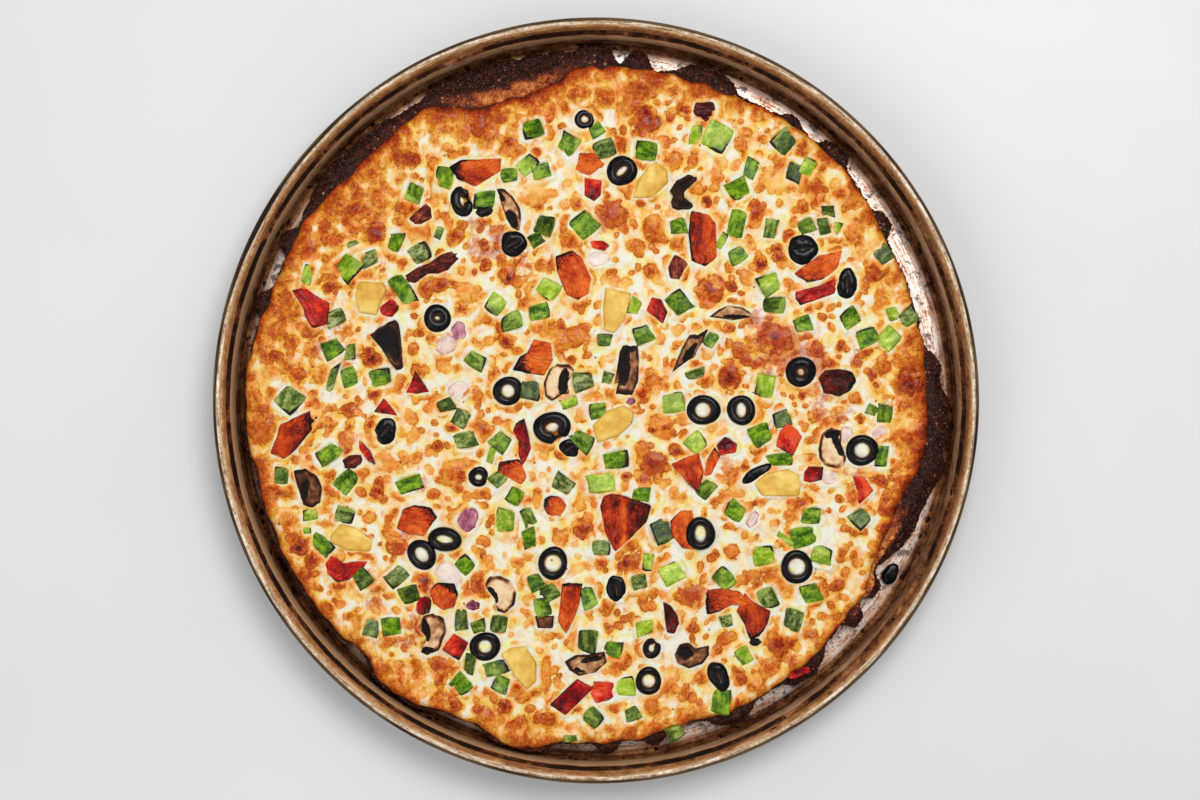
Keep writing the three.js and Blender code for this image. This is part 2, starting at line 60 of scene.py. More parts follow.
studio = {
    "cameraHeight": 1250,  # above the pan's rim
    "cameraAside": 2.07,
    "cameraAhead": 0.26,
    "lens": 72.7,
    "lampDistance": 1.5,  # in metres, as farthest, floorHalf and the lamps' sizes
    "sky": 0.41,
    "skyColour": (0.98, 0.99, 1, 1),
    "farthest": 10,
    "floorHalf": 6,
}
# where each soft lamp hangs, in degrees round from +X and degrees down from straight above
lamps = {
    "keyLamp": {"from": 62, "lean": 20, "size": 0.7, "power": 12.5},
    "fillLamp": {"from": 215, "lean": 34, "size": 1.1, "power": 4.5},
}


def placed(name, data):
    made = bpy.data.objects.new(name, data)
    bpy.context.scene.collection.objects.link(made)
    return made


def hangLamp(name, settings):
    data = bpy.data.lights.new(name, "AREA")
    data.shape = "DISK"
    data.size = settings["size"]
    data.energy = settings["power"]
    lamp = placed(name, data)
    turn, lean = math.radians(settings["from"]), math.radians(settings["lean"])
    aside, up = math.sin(lean), math.cos(lean)
    far = studio["lampDistance"]
    lamp.location = (far * aside * math.cos(turn), far * aside * math.sin(turn), far * up)
    lamp.rotation_euler = (-lamp.location).to_track_quat("-Z", "Y").to_euler()


def setStudio():
    scene = bpy.context.scene
    lens = bpy.data.cameras.new("overheadCamera")
    lens.lens = studio["lens"]
    lens.clip_end = studio["farthest"]
    camera = placed("overheadCamera", lens)
    height = cadHigh.z + studio["cameraHeight"] * mm
    camera.location = (studio["cameraAside"] * mm, studio["cameraAhead"] * mm, height)
    scene.camera = camera
    scene.view_settings.view_transform = "Standard"
    for name, settings in lamps.items():
        hangLamp(name, settings)
    world = bpy.data.worlds.new("softRoom")
    world.use_nodes = True
    air = world.node_tree.nodes["Background"].inputs
    air["Color"].default_value = studio["skyColour"]
    air["Strength"].default_value = studio["sky"]
    scene.world = world


setStudio()
print("studio set")


# finishes: shader sums and the nodes behind them

def tint(red, green, blue):
    # an eye's colour, 0 to 255, as the linear colour that a shader takes
    shares = [value / 255 for value in (red, green, blue)]
    return tuple(s / 12.92 if s <= 0.04045 else ((s + 0.055) / 1.055) ** 2.4 for s in shares) + (1.0,)


class Wire:
    # one shader socket that takes part in sums
    def __init__(self, finish, socket):
        self.finish = finish
        self.socket = socket

    def sum(self, operation, *values):
        return self.finish.add("ShaderNodeMath", {"operation": operation}, dict(enumerate(values)))

    def __add__(self, other):
        return self.sum("ADD", self, other)

    __radd__ = __add__

    def __sub__(self, other):
        return self.sum("SUBTRACT", self, other)

    def __rsub__(self, other):
        return self.sum("SUBTRACT", other, self)

    def __mul__(self, other):
        return self.sum("MULTIPLY", self, other)

    __rmul__ = __mul__

    def __truediv__(self, other):
        return self.sum("DIVIDE", self, other)

    def most(self, other):
        return self.sum("MAXIMUM", self, other)

    def least(self, other):
        return self.sum("MINIMUM", self, other)

    def away(self):
        return self.sum("ABSOLUTE", self)

    # 0 below low, 1 above high, soft between
    def between(self, low, high, least=0.0, most=1.0):
        ends = {"Value": self, "From Min": low, "From Max": high, "To Min": least, "To Max": most}
        return self.finish.add("ShaderNodeMapRange", {"interpolation_type": "SMOOTHSTEP"}, ends)


class Finish:
    def __init__(self, name, **constants):
        self.material = bpy.data.materials.new(name)
        self.material.use_nodes = True
        self.nodes = self.material.node_tree.nodes
        self.links = self.material.node_tree.links
        self.shader = self.nodes["Principled BSDF"]
        for socket, value in constants.items():
            self.shader.inputs[socket.replace("_", " ")].default_value = value

    # any node: its settings first, then the values or wires of its sockets
    def add(self, kind, settings=None, sockets=None, output=0):
        node = self.nodes.new(kind)
        for key, value in (settings or {}).items():
            if key == "stops":
                self.setStops(node.color_ramp, value)
            else:
                setattr(node, key, value)
        for key, value in (sockets or {}).items():
            self.feed(node.inputs[key], value)
        return Wire(self, node.outputs[output])

    def feed(self, socket, value):
        if isinstance(value, Wire):
            self.links.new(value.socket, socket)
        else:
            socket.default_value = value

    def setStops(self, ramp, stops):
        while len(ramp.elements) < len(stops):
            ramp.elements.new(0.5)
        for element, (place, *colour) in zip(ramp.elements, stops):
            element.position = place
            element.color = tint(*colour)

    def place(self):
        return self.add("ShaderNodeTexCoord", output="Object")

    def layer(self, name, output="Fac"):
        return self.add("ShaderNodeAttribute", {"attribute_name": name}, output=output)

    def vectors(self, operation, first, second):
        return self.add("ShaderNodeVectorMath", {"operation": operation}, {0: first, 1: second})

    def stretched(self, vector, scales):
        return self.vectors("MULTIPLY", vector, scales)

    # cloudy noise about 0.5, with lumps of the given size in millimetres
    def noise(self, vector, size, detail=3.0, roughness=0.55, twist=0.0):
        sockets = {"Vector": vector, "Scale": 1 / (size * mm), "Detail": detail,
                   "Roughness": roughness, "Distortion": twist}
        return self.add("ShaderNodeTexNoise", None, sockets)

    # the same coordinates pushed about by noise, by up to push millimetres
    def shaken(self, vector, size, push, detail=2.0):
        sockets = {"Vector": vector, "Scale": 1 / (size * mm), "Detail": detail}
        colour = self.add("ShaderNodeTexNoise", None, sockets, "Color")
        middle = self.vectors("SUBTRACT", colour, (0.5, 0.5, 0.5))
        return self.vectors("ADD", vector, self.stretched(middle, (push * mm,) * 3))

    def parts(self, vector):
        return [self.add("ShaderNodeSeparateXYZ", None, {0: vector}, k) for k in range(3)]

    # round cells of a size: 1 in a cell's middle and 0 at its own random rim, and the cell's own numbers
    def bubbles(self, vector, size, least, most):
        sockets = {"Vector": vector, "Scale": 1 / (size * mm)}
        away = self.add("ShaderNodeTexVoronoi", None, sockets, "Distance")
        own = self.parts(self.add("ShaderNodeTexVoronoi", None, sockets, "Color"))
        return 1 - away / (least + own[0] * (most - least)), own[1], own[2]

    def ramp(self, value, stops):
        return self.add("ShaderNodeValToRGB", {"stops": stops}, {"Fac": value}, "Color")

    def blend(self, share, first, second, way="MIX"):
        settings = {"data_type": "RGBA", "blend_type": way}
        return self.add("ShaderNodeMix", settings, {0: share, 6: first, 7: second}, 2)

    def bump(self, height, depth, strength=1.0):
        sockets = {"Height": height, "Distance": depth * mm, "Strength": strength}
        return self.add("ShaderNodeBump", None, sockets)

    def wear(self, **wires):
        for socket, wire in wires.items():
            self.feed(self.shader.inputs[socket.replace("_", " ")], wire)
        return self.material


# numbers that the shapes share

# how far inside a blister a point lies where there is none, and where its colour has faded out
nowhere, faded = -9.0, -1.5


def hashed(ix, iy, seed):
    # a repeatable number from 0 to 1 for each lattice corner
    mixed = (ix * 374761393 + iy * 668265263 + seed * 974634777) & 0xFFFFFFFF
    mixed = ((mixed ^ (mixed >> 13)) * 1274126177) & 0xFFFFFFFF
    return ((mixed ^ (mixed >> 16)) & 0xFFFFFF) / 0xFFFFFF


def softNoise(x, y, size, seed):
    # smooth noise from -1 to 1, with lumps about as wide as size
    u, v = x / size, y / size
    iu, iv = np.floor(u).astype(np.int64), np.floor(v).astype(np.int64)
    fu, fv = u - iu, v - iv
    su, sv = [f * f * f * (f * (f * 6 - 15) + 10) for f in (fu, fv)]
    total = 0
    for du in (0, 1):
        for dv in (0, 1):
            turn = math.tau * hashed(iu + du, iv + dv, seed)
            slope = np.cos(turn) * (fu - du) + np.sin(turn) * (fv - dv)
            total = total + slope * (su if du else 1 - su) * (sv if dv else 1 - sv)
    return total * 1.5


def roughNoise(x, y, size, seed, layers=3):
    return sum(softNoise(x, y, size / 2**k, seed + k) / 2**k for k in range(layers)) / 1.5


def pushed(x, y, push, size, seedX, seedY):
    # the same places pushed about by noise
    return x + push * roughNoise(x, y, size, seedX, 2), y + push * roughNoise(x, y, size, seedY, 2)


def smooth(value, low, high):
    share = np.clip((value - low) / (high - low), 0, 1)
    return share * share * (3 - 2 * share)


def bell(away, half):
    # 1 at no distance away, falling softly to 0
    return np.exp(-((away / half) ** 2))


def turnsRound(count):
    return np.arange(count) * math.tau / count


def blisters(x, y, group):
    # blisters on a shaken grid: 1 in a blister's middle, 0 at its rim, below 0 outside, and its own number
    spacing, seed = group["spacing"], group["seed"]
    inside = np.full_like(x, nowhere)
    number = np.zeros_like(x)
    iu, iv = np.floor(x / spacing).astype(np.int64), np.floor(y / spacing).astype(np.int64)
    for du in (-1, 0, 1):
        for dv in (-1, 0, 1):
            cu, cv = iu + du, iv + dv
            # each stands anywhere in its cell but the outer tenth
            middleX = (cu + 0.1 + 0.8 * hashed(cu, cv, seed)) * spacing
            middleY = (cv + 0.1 + 0.8 * hashed(cu, cv, seed + 1)) * spacing
            radius = group["least"] + (group["most"] - group["least"]) * hashed(cu, cv, seed + 2) ** 1.5
            turn = math.pi * hashed(cu, cv, seed + 3)
            dx, dy = x - middleX, y - middleY
            along = dx * np.cos(turn) + dy * np.sin(turn)
            across = -dx * np.sin(turn) + dy * np.cos(turn)
            here = 1 - np.sqrt(along**2 * 0.75 + across**2 * 1.3) / radius
            here = np.where(hashed(cu, cv, seed + 5) < group["share"], here, nowhere)
            better = here > inside
            inside = np.where(better, here, inside)
            number = np.where(better, hashed(cu, cv, seed + 4), number)
    return inside, number


# the food's edge and surface, as the solids have them

gap = 0.35
dough = {
    "bottom": 1.35,
    "top": 16.8,
    "lip": 3.4,
    "reachLimit": 188.3,
    "footRadius": 184,
    "toeInset": 2,
    "skirtTop": 9,
    "skirtFoot": 5,
}
cheeseLevel = 21.8
cheeseFoot = dough["top"] + gap
edgeCircle = {"radius": 178, "shift": 4.3, "shiftAt": 200}

# degrees round, half width in degrees, and how far out
edgeSwells = [
    (48, 14, 3.5), (106, 11, -13), (135, 12, -4), (158, 8, -2.5), (180, 9, 1.5), (227, 3, -2),
    (236, 6, 4.5), (257, 5, 6), (285, 6, -2.5), (318, 5, -2), (336, 11, -7),
]
skirtSwells = [
    (4, 4.5, 9), (31.8, 2.2, 8), (46, 3, 8), (55, 2, 5), (71, 5.5, 10), (83, 2.2, 9), (90, 3, 13),
    (106, 13, 21), (135, 12, 11), (152.5, 2.2, 8), (163.5, 2.2, 8), (186, 3, 3), (211, 12, 2),
    (236, 7, 3), (257, 6, 4), (272, 2, 7), (280, 2, 7), (293.5, 4, 8), (308, 4, 8), (320, 2, 8),
    (326, 2, 8), (343, 12, 14), (357, 4, 10),
]
# wave length, direction in degrees, height and phase
waves = [(140, 20, 0.7, 1.3), (92, 104, 0.5, 0.4), (71, 61, 0.4, 2.2), (63, 148, 0.3, 4.1)]


def swellAt(angle, swells):
    total = np.zeros_like(angle)
    for at, half, out in swells:
        away = np.abs((angle - at + 540) % 360 - 180) / half
        total += out * np.exp(-(away**4))
    return total


def cheeseRadius(angle):
    shift = edgeCircle["shift"] * np.cos(np.radians(angle - edgeCircle["shiftAt"]))
    return edgeCircle["radius"] + shift + swellAt(angle, edgeSwells)


def skirtRadius(angle):
    reach = cheeseRadius(angle) + 2 * gap + 0.3 + swellAt(angle, skirtSwells)
    return np.minimum(reach, dough["reachLimit"])


def exposureAt(angle):
    return np.clip((swellAt(angle, skirtSwells) - 6) / 6, 0, 1)


def surfaceHeight(x, y):
    height = cheeseLevel
    for length, turn, rise, phase in waves:
        along = x * math.cos(math.radians(turn)) + y * math.sin(math.radians(turn))
        height = height + rise * np.sin(math.tau * along / length + phase)
    return height


# toppings: the middle's x and y, length, width and turn in degrees, and what is special to each, such as
# points, its outline's corners from its middle. The cheese is sunk under each of them

def topping(x, y, length, width, turn=0, **special):
    return dict(at=(x, y), size=(length, width), turn=turn, **special)


olives = {
    "olive_01": topping(13.5, 120, 16, 16, 42, hole=(7, 3.2)),
    "olive_02": topping(-43, 82, 14, 14, groove=25),
    "olive_03": topping(-83, 43, 14.5, 14.5, hole=(3, 2)),
    "olive_04": topping(108, 79, 16, 16, 30, groove=-20),
    "olive_05": topping(-46, 5, 16, 15, hole=(7, 7)),
    "olive_06": topping(-23, -14, 20, 17, 15, hole=(7, 4.6), cut=-62),
    "olive_07": topping(56, -5, 18, 16, hole=(8, 8)),
    "olive_08": topping(76, -5, 15, 16, hole=(5, 8)),
    "olive_09": topping(107, 15, 16, 16, hole=(3.6, 3.6)),
    "olive_10": topping(139, -26, 17, 16.5, hole=(8, 8)),
    "olive_11": topping(-79, -72.5, 17.5, 13, -8, hole=(9, 4.4), lift=1.6),
    "olive_12": topping(-91, -80.5, 16.5, 14.5, -55, hole=(8.5, 6.5)),
    "olive_13": topping(-22.5, -85, 15.5, 17.5, hole=(9, 9)),
    "olive_14": topping(54.5, -69.5, 16, 17, hole=(6, 9), lift=1.6),
    "olive_15": topping(105, -87, 17, 17.5, hole=(9, 9)),
    "olive_16": topping(-58, -128.5, 16.5, 15, hole=(7, 7)),
    "olive_17": topping(27.5, -146.5, 14, 14.5, hole=(7, 7)),
    "olive_18": topping(64, -144, 17, 10.5, -62, groove=0),
    "smallRing": topping(-6, 147, 11, 10, hole=(4, 3.4)),
    "smallCurl": topping(-70, 104, 17, 12, 105, hole=(5, 1.6), cut=20),
    "rightCurl": topping(131, 61, 17, 11, 85, groove=8),
    "leftClosed": topping(-110, -16, 15, 12, 80, groove=-30),
    "middleRing": topping(-61.5, -40, 11, 11, hole=(3.4, 3)),
    "strip": topping(83.6, -38.2, 19, 6, 31),
    "lowCrescent": topping(10.5, -98, 14, 11, 90, groove=10),
    "lowCurl": topping(29, -129.5, 11, 10, 90, hole=(4, 3), cut=50),
    "tail": topping(-14, -25, 12, 9, -30, groove=60),
    "fragment": topping(-58, 99, 10, 6, 20, groove=0),
    "floorOlive": topping(156, -92, 12, 8, 62, ground=4, root=2.8),
}

# tone runs from orange to dark red, burnt is how much of it is charred, and burnAt the charred side
tomatoes = {
    "tomato_01": topping(-63, 119, 27, 13, 4, tone=0.35, burnt=0.55, burnAt=180, points=[
        (-14, 3), (-8, 6.8), (13.4, 7.4), (13.5, 1), (0, -7.5), (-9, -3.5)]),
    "tomato_02": topping(-12, 66, 26, 17, -60, tone=0.3, burnt=0.35, burnAt=150, points=[
        (-9.4, 9.6), (-0.4, 12.6), (5, 7.8), (9.6, -2.4), (8, -10), (2.6, -13.8), (-3.4, -11),
        (-8.2, 1)]),
    "tomato_03": topping(55, 85, 28, 14, 90, tone=0.5, burnt=1.0, burnAt=188, points=[
        (-5.5, 14.4), (3.5, 12.6), (7.7, 7), (8.3, -10), (2.3, -15), (-5, -12), (-6.7, 2.4)]),
    "tomato_04": topping(116, 71, 26, 12, 25, tone=0.15, burnt=0.2, burnAt=250, points=[
        (12.6, 7.4), (0, 4.6), (-12.6, -4.5), (-6, -9.5), (2, -8), (10, -2.5)]),
    "tomato_05": topping(-158, -19, 24, 15, 45, tone=0.6, burnt=0.55, burnAt=0, points=[
        (-7, 6.5), (1, 10), (9, 14), (10, 4), (1, -7), (-5, -11.5), (-12.5, -8.5), (-9, -1)]),
    "tomato_06": topping(-31, 23, 19, 17, 10, tone=0.15, burnt=0.5, burnAt=195, points=[
        (-1.5, 9), (7.5, 7), (8.5, -2), (4, -10), (-5, -9), (-12.5, -7), (-9, 0), (-5, 2)]),
    "tomato_07": topping(48, -38, 24, 18, -75, tone=0.4, burnt=0.15, burnAt=300, points=[
        (-9, 5), (5.5, 11), (8.5, 1), (5.5, -10.5), (-1, -4)]),
    "tomato_08": topping(124, 10, 18, 13, 10, tone=0.95, burnt=0.6, burnAt=10, points=[
        (-8, 2), (-4, 6), (4, 6.5), (10, 5), (12, 0), (9, -5), (3, -8), (-5, -6)]),
    "tomato_09": topping(-94, -63, 23, 17, -8, tone=0.35, burnt=0.35, burnAt=60, points=[
        (-10.5, -4), (-7, 6), (-1, 8.5), (8, 7), (11, 2), (4, -8), (-4, -6.5)]),
    "tomato_10": topping(-80, -102, 15, 14, 70, tone=0.3, burnt=0.55, burnAt=60, points=[
        (-7, 3), (-3, 7), (6, 6.5), (8, 1), (6, -6), (0, -7.5), (-5, -4)]),
    "tomato_11": topping(15.5, -63, 31, 27, -104, tone=0.6, burnt=0.3, burnAt=20, stripe=(-1, 2.4), points=[
        (-13.5, 8), (-11.5, 13), (-7.5, 14.5), (-0.5, 13), (11.5, 9), (13.5, 8), (10.5, -1), (1.5, -10),
        (-5.5, -16), (-10.5, -7)]),
    "tomato_12": topping(-13.5, -108, 27, 13.5, -98, tone=0.3, burnt=0.35, burnAt=80, points=[
        (-4.5, 13), (6.5, 12.5), (5, 2), (2, -6), (-2, -14), (-6.5, -7.5), (-5, 4)]),
    "tomato_13": topping(44, -68, 22, 13, 84, tone=0.25, burnt=0.25, burnAt=180, points=[
        (-5.5, 5), (0, 10.5), (6, 11), (7.5, 4), (7, -10), (1, -9), (-4, -3)]),
    "tomato_14": topping(66, -104, 21, 11, -12, tone=0.4, burnt=0.5, burnAt=200, points=[
        (-8, 5), (0, 6), (10, 4), (13, -3), (5, -2.5), (-1, -6), (-8, -8), (-9, -2)]),
    "tomato_15": topping(82.5, -114, 25, 16, -72, tone=0.6, burnt=0.55, burnAt=-72, points=[
        (-5, 14), (-1, 9), (9, 4), (7, -3), (3, -9), (-2, -11), (-5, -3), (-9, 4)]),
    "upperShred": topping(-4, 124, 13, 11, tone=0.1, burnt=0.15, burnAt=90),
    "cornerShred": topping(-22, -55, 12, 11, -25, tone=0.3, burnt=0.5, burnAt=140),
    "sideShred": topping(59, -33, 14, 6, 85, tone=0.3, burnt=0.3, burnAt=90, points=[
        (3, 9), (6, 4), (1, -6), (-3, -7), (-1, 2)]),
    "leftShred": topping(-44, -37, 13, 12, -20, tone=0.3, burnt=0.55, burnAt=110, points=[
        (-7, 5), (4, 6.5), (8, -3), (5, -7), (-3, -3), (-7.5, 0)]),
}

peppers = {
    "pepper_1": topping(-148, 48, 24, 12, -45, tone=0.35, burnt=0.35, burnAt=220, points=[
        (-11, 9.5), (-4, 11), (3, 6), (9, 3), (8, -8), (0, -10.5), (-4, -4), (-5, 1)]),
    "pepper_2": topping(100, -21, 16, 12, 88, tone=0.05, burnt=0.2, burnAt=250, points=[
        (0, 9.5), (5, 6), (8, 2), (3, -8), (-6, -3), (-4, 5)]),
    "pepper_3": topping(-131, -87.5, 23, 11, 4, tone=0.4, burnt=0.4, burnAt=270, points=[
        (-7, 7), (-1, 2.5), (5, 3.5), (12, 3.5), (8, -2), (2, -6), (-4, -7.5), (-9, -3), (-10.5, 2)]),
    "pepper_4": topping(-13, -154, 24, 14, 34, tone=0.6, burnt=0.8, burnAt=150, points=[
        (-11.5, -5), (3, 8.5), (12, 4), (-3, -10.5)]),
    "pepper_5": topping(-73.5, -128.5, 12.5, 12, 42, tone=0.4, burnt=0.4, burnAt=300, points=[
        (-7, -1.5), (-1, 7), (7, 2), (2, -7.5)]),
    "pepper_6": topping(139, -46, 16, 11, -75, tone=0.1, burnt=0.2, burnAt=200, points=[
        (-5, 6.5), (1, 6), (6, -1), (3, -4), (-2, -8.5), (-2.5, -1)]),
    "upperBit": topping(-2, 111, 12, 9, 90, tone=0.35, burnt=0.3, burnAt=270, points=[
        (-4, 5.5), (5, 4), (4.5, -4), (1, -7), (-4, -4)]),
    "centreBit": topping(32, 48, 13, 11, 90, tone=0.5, burnt=0.35, burnAt=0, points=[
        (-3, 6), (2, 5), (5.5, -2), (3, -8), (-2, -4), (-6, -1)]),
    "rightStrip": topping(115, 58, 24, 9, 18, tone=0.35, burnt=0.35, burnAt=270, points=[
        (-11, -1), (2, 2), (11.5, 7), (10, -2), (-8.5, -8.5), (-11, -5)]),
    "leftBit": topping(-94, 9, 12, 11, tone=0.5, burnt=0.4, burnAt=60, points=[
        (-0.5, 7), (4, 0), (7, -4.6), (0, -5.6), (-5.4, -5), (-3, 0)]),
    "farBit": topping(-110, -4, 11, 10, tone=0.4, burnt=0.35, burnAt=200, points=[
        (-1, 5.5), (3, 1), (6.5, -4), (0, -3), (-6, -2)]),
    "tallStrip": topping(-39, -21, 23, 7, 100, tone=0.55, burnt=0.35, burnAt=90, points=[
        (-4.5, 5), (-3, 9), (1.5, 12), (2.5, 8), (4, 2), (5, -4), (2, -11), (0.5, -13), (-1.5, -8),
        (-1.5, 0)]),
    "maroon": topping(39, -113, 17, 12, -60, tone=0.95, burnt=0.55, burnAt=120, points=[
        (-4, 8), (0, 6), (3.6, 1), (4.6, -4), (2, -9), (-2, -8), (-3, -2)]),
    "rightBit": topping(113, -38, 12, 12, tone=0.5, burnt=0.45, burnAt=0, points=[
        (-4, 1), (-2, 3.6), (6, 3.4), (5, -3.6), (-1, -5), (-4.6, -4)]),
    "lowBit": topping(3, -152, 12, 11, tone=0.05, burnt=0.15, burnAt=0),
    "pinkBit": topping(68, -24, 10, 9, 20, tone=0.6, burnt=0.4, burnAt=120),
    "topBit": topping(57, 151.5, 12, 10, tone=0.95, burnt=0.45, burnAt=90),
    "smallA": topping(-108, 48, 10, 8, 30, tone=0.5, burnt=0.3, burnAt=0),
    "smallB": topping(2, 81, 9, 5, -15, tone=0.2, burnt=0.1, burnAt=0),
    "smallC": topping(-120, -27, 13, 4, -57, tone=0.4, burnt=0.5, burnAt=0),
    "smallD": topping(-90, -107, 10, 8, 80, tone=0.7, burnt=0.3, burnAt=0),
    "edgeBit": topping(107, -142, 14, 4, 20, tone=0.5, burnt=0.4, burnAt=0),
}

# dark is how browned the flesh is, and gills are the black places: middle from the slice's own, length,
# width and turn
mushrooms = {
    "mushroom_01": topping(42, 107.5, 18, 12, 90, dark=0.95,
        gills=[(5, 6, 14, 4, 40), (4, -4.6, 9, 4, -20)], points=[
        (-3.6, 2), (0, 7.5), (6, 10.5), (10.8, 9.5), (10.5, 6.9), (6, 3.6), (4.2, 1.6), (4.2, -1.6),
        (9.5, -5.4), (7, -7.5), (1, -8), (-2, -7), (-3, -3.5), (-1.5, -0.5)]),
    "mushroom_02": topping(-109, 28, 27, 13, -70, dark=0.7,
        gills=[(-0.5, 4, 17, 15, 70), (4, -2, 14, 7, -80)], points=[
        (-9.5, 6.5), (-3, 11), (3.5, 14.5), (5.8, 13), (7, 5), (8, -6), (8.4, -11), (5, -12.6),
        (1.4, -8), (-3, -1.2)]),
    "mushroom_03": topping(-20, 9.5, 21, 14, 90, dark=0.05, gills=[(3.2, 0, 17, 6, 84)], points=[
        (-4.5, 6.6), (0, 9.8), (6, 9.4), (9, 6), (7, 3.4), (5.3, 0), (6, -6), (2, -6.8), (-3, -10),
        (-6.7, -7.8), (-7.3, 0)]),
    "mushroom_04": topping(17, 16, 28, 10.5, 90, dark=0.5,
        gills=[(-2.4, 1.5, 23, 7.5, 88), (0, 11, 9, 4, 0)], points=[
        (-3, 13), (4.8, 13), (5.6, 6), (5, -6), (2, -13.3), (-7, -12.7), (-7.8, -9), (-5.4, -6.7),
        (-5.6, 4), (-4.8, 10)]),
    "mushroom_05": topping(48, 26, 24, 10, 60, dark=0.5,
        gills=[(0.8, -1.5, 15, 4.4, 58), (5.5, 8, 7, 3.4, 30)], points=[
        (-8.5, -11.5), (-3, 1.7), (0.8, 8.3), (6.2, 9), (11, 12), (7.5, 4), (5, 0.5), (3.8, -3),
        (-2.2, -6.7)]),
    "mushroom_06": topping(123, -25, 22, 14, 90, dark=0.1,
        gills=[(0.4, 7.4, 10, 5, 10), (3.4, 1.8, 15, 4.6, -64)], points=[
        (-6.7, 0), (-5, 8), (0, 11), (5.3, 9.5), (5, 3), (7.7, -4.3), (7, -9), (3, -11), (-3, -9),
        (-6, -5.5)]),
    "mushroom_07": topping(-149.5, -46, 20, 13, 100, dark=0.65, gills=[(-3, -1, 16, 5.6, 80)], points=[
        (-8.4, 9.4), (-2.4, 10.6), (3.6, 7), (6.6, 1), (5.4, -7.4), (1.2, -10.4), (-3.6, -8.6),
        (-6.6, 1.6)]),
    "mushroom_08": topping(-50, -101.5, 22, 16, 115, dark=0.1, gills=[(-3.8, 0, 11, 4.6, -62)], points=[
        (-8.2, 5.8), (-5.8, 9.4), (-1, 10), (5, 7.6), (8.4, 1), (7.4, -5), (2.6, -9.8), (-1.6, -8.6),
        (-2.8, -2.6), (-7, 2.8)]),
    "mushroom_09": topping(-86, -120.5, 24, 13, 84, dark=0.3,
        gills=[(-2.8, 1, 14, 5, -78), (-2.5, -10, 9, 4, 10)], points=[
        (-4.3, 8.2), (0.5, 9.4), (6.5, 7), (8, 0), (4, -9.8), (-2, -12.5), (-6.1, -11), (-2.4, -3.8),
        (-6.7, 2.2)]),
    "mushroom_10": topping(-5, -138, 24, 12.5, 12, dark=0.4,
        gills=[(2.6, 2.8, 14, 3.6, 12), (-4, -3, 7, 2.4, -10)], points=[
        (-11.5, 1.5), (-6, 5), (0, 5), (9.6, 6.8), (11, 1.4), (5, -4), (-4, -6), (-9, -3)]),
    "mushroom_11": topping(50.5, -133, 18.5, 13, 6, dark=0.6, gills=[(-4, 1.4, 10, 8, 0)], points=[
        (-9.4, 0.2), (-7, 5.6), (-2.2, 6.8), (1.4, 3.4), (8.6, 5), (8.6, 0.2), (5, -4.6), (-2.2, -7),
        (-8.2, -4)]),
    "slimSlice": topping(-46, 101, 24, 9, -60, dark=0.4,
        gills=[(2, -6.4, 12, 6.5, -66), (-3.4, 5.6, 8, 3, -60)], points=[
        (-6, 9.5), (-2, 9.8), (3, 5), (6.5, -1), (7, -6), (6, -12.5), (2, -11), (-1, -6), (-3, 1)]),
    "lensSlice": topping(71, 46, 24, 8, dark=0.3, gills=[(3, -2.4, 18, 2.8, -4)], points=[
        (-12, -2.3), (-7, 1.5), (-2, 3.7), (6, 2.5), (12, -1.7), (6, -3.6), (0, -4)]),
    "smallSlice": topping(-27, -115, 11, 9, dark=0.6, gills=[(0, 2.2, 9, 1.4, 0)], points=[
        (-5, 2.5), (5, 2.5), (4.5, -4), (-3.5, -4)]),
}

pineapples = {
    "pineapple_1": topping(29, 116, 22, 16.5, 88, burnt=0.15, points=[
        (-10, -10), (-7, -1), (-2, 6), (2, 9), (8, 4.5), (9, -2), (0, -10)]),
    "pineapple_2": topping(-117, 55, 18, 14, 86, burnt=0.3, points=[
        (-7.2, 7.2), (6, 6.6), (7.8, 2.4), (4.8, -3.6), (2.4, -10.5), (-6.6, -9), (-9, 0)]),
    "pineapple_3": topping(10, 47, 26, 15, -88, burnt=0.2, points=[
        (-5.2, 12), (8.6, 9), (7.4, 3.6), (5, -4.8), (-0.4, -12), (-5.8, -10.2), (-6.4, 1.2)]),
    "pineapple_4": topping(10, -12, 24, 16, 35, burnt=0.25, points=[
        (-12, -1), (-4.3, 6.6), (4, 9.6), (10, 6), (8.9, 0), (1.7, -6.6), (-9.1, -10)]),
    "pineapple_5": topping(-128, -72, 24, 15, -8, burnt=0.15, points=[
        (-10.8, 1.7), (-5.4, 7.7), (1.8, 5.9), (11.4, -0.7), (10.2, -6.7), (-2.4, -6.1), (-10.8, -2)]),
    "pineapple_6": topping(95, -44, 27, 14, 2, burnt=0.2, points=[
        (-12.4, 0.5), (-7, 5.5), (5, 8.5), (11, 5.3), (12.2, -0.7), (11, -6), (-8.2, -6)]),
    "pineapple_7": topping(-40, -139, 24, 18, 80, burnt=0.15, points=[
        (-9.7, 6.5), (-4.3, 10), (2.9, 10.7), (8.9, 1.7), (8.9, -7.9), (4, -12), (-2, -5.5)]),
}

# tone runs from pale lilac to deep purple
onions = {
    "lilacA": topping(1, 74, 12, 8, 10, tone=0.1),
    "lilacB": topping(-77, -91, 16, 13, -40, tone=0.15),
    "pinkA": topping(122, -40, 12, 8, tone=0.25),
    "pinkB": topping(-72, 5, 12, 10, 30, tone=0.2),
    "pinkC": topping(130, -18, 10, 8, 70, tone=0.35),
    "pinkD": topping(148, -17, 9, 7, 40, tone=0.3),
    "purpleA": topping(-72, 36, 12, 8, 85, tone=0.6),
    "purpleB": topping(18, 0, 6, 5, 50, tone=0.9),
    "purpleC": topping(-65.5, -107, 9.5, 6, tone=0.9),
    "purpleD": topping(-67, -62, 15, 11, 60, tone=0.7),
    "stripA": topping(92, -13, 9, 4, 60, tone=0.3),
    "stripB": topping(82, -62, 9, 5, 60, tone=0.35),
    "brownPink": topping(-78, 29, 13, 10, 20, tone=0.4),
}

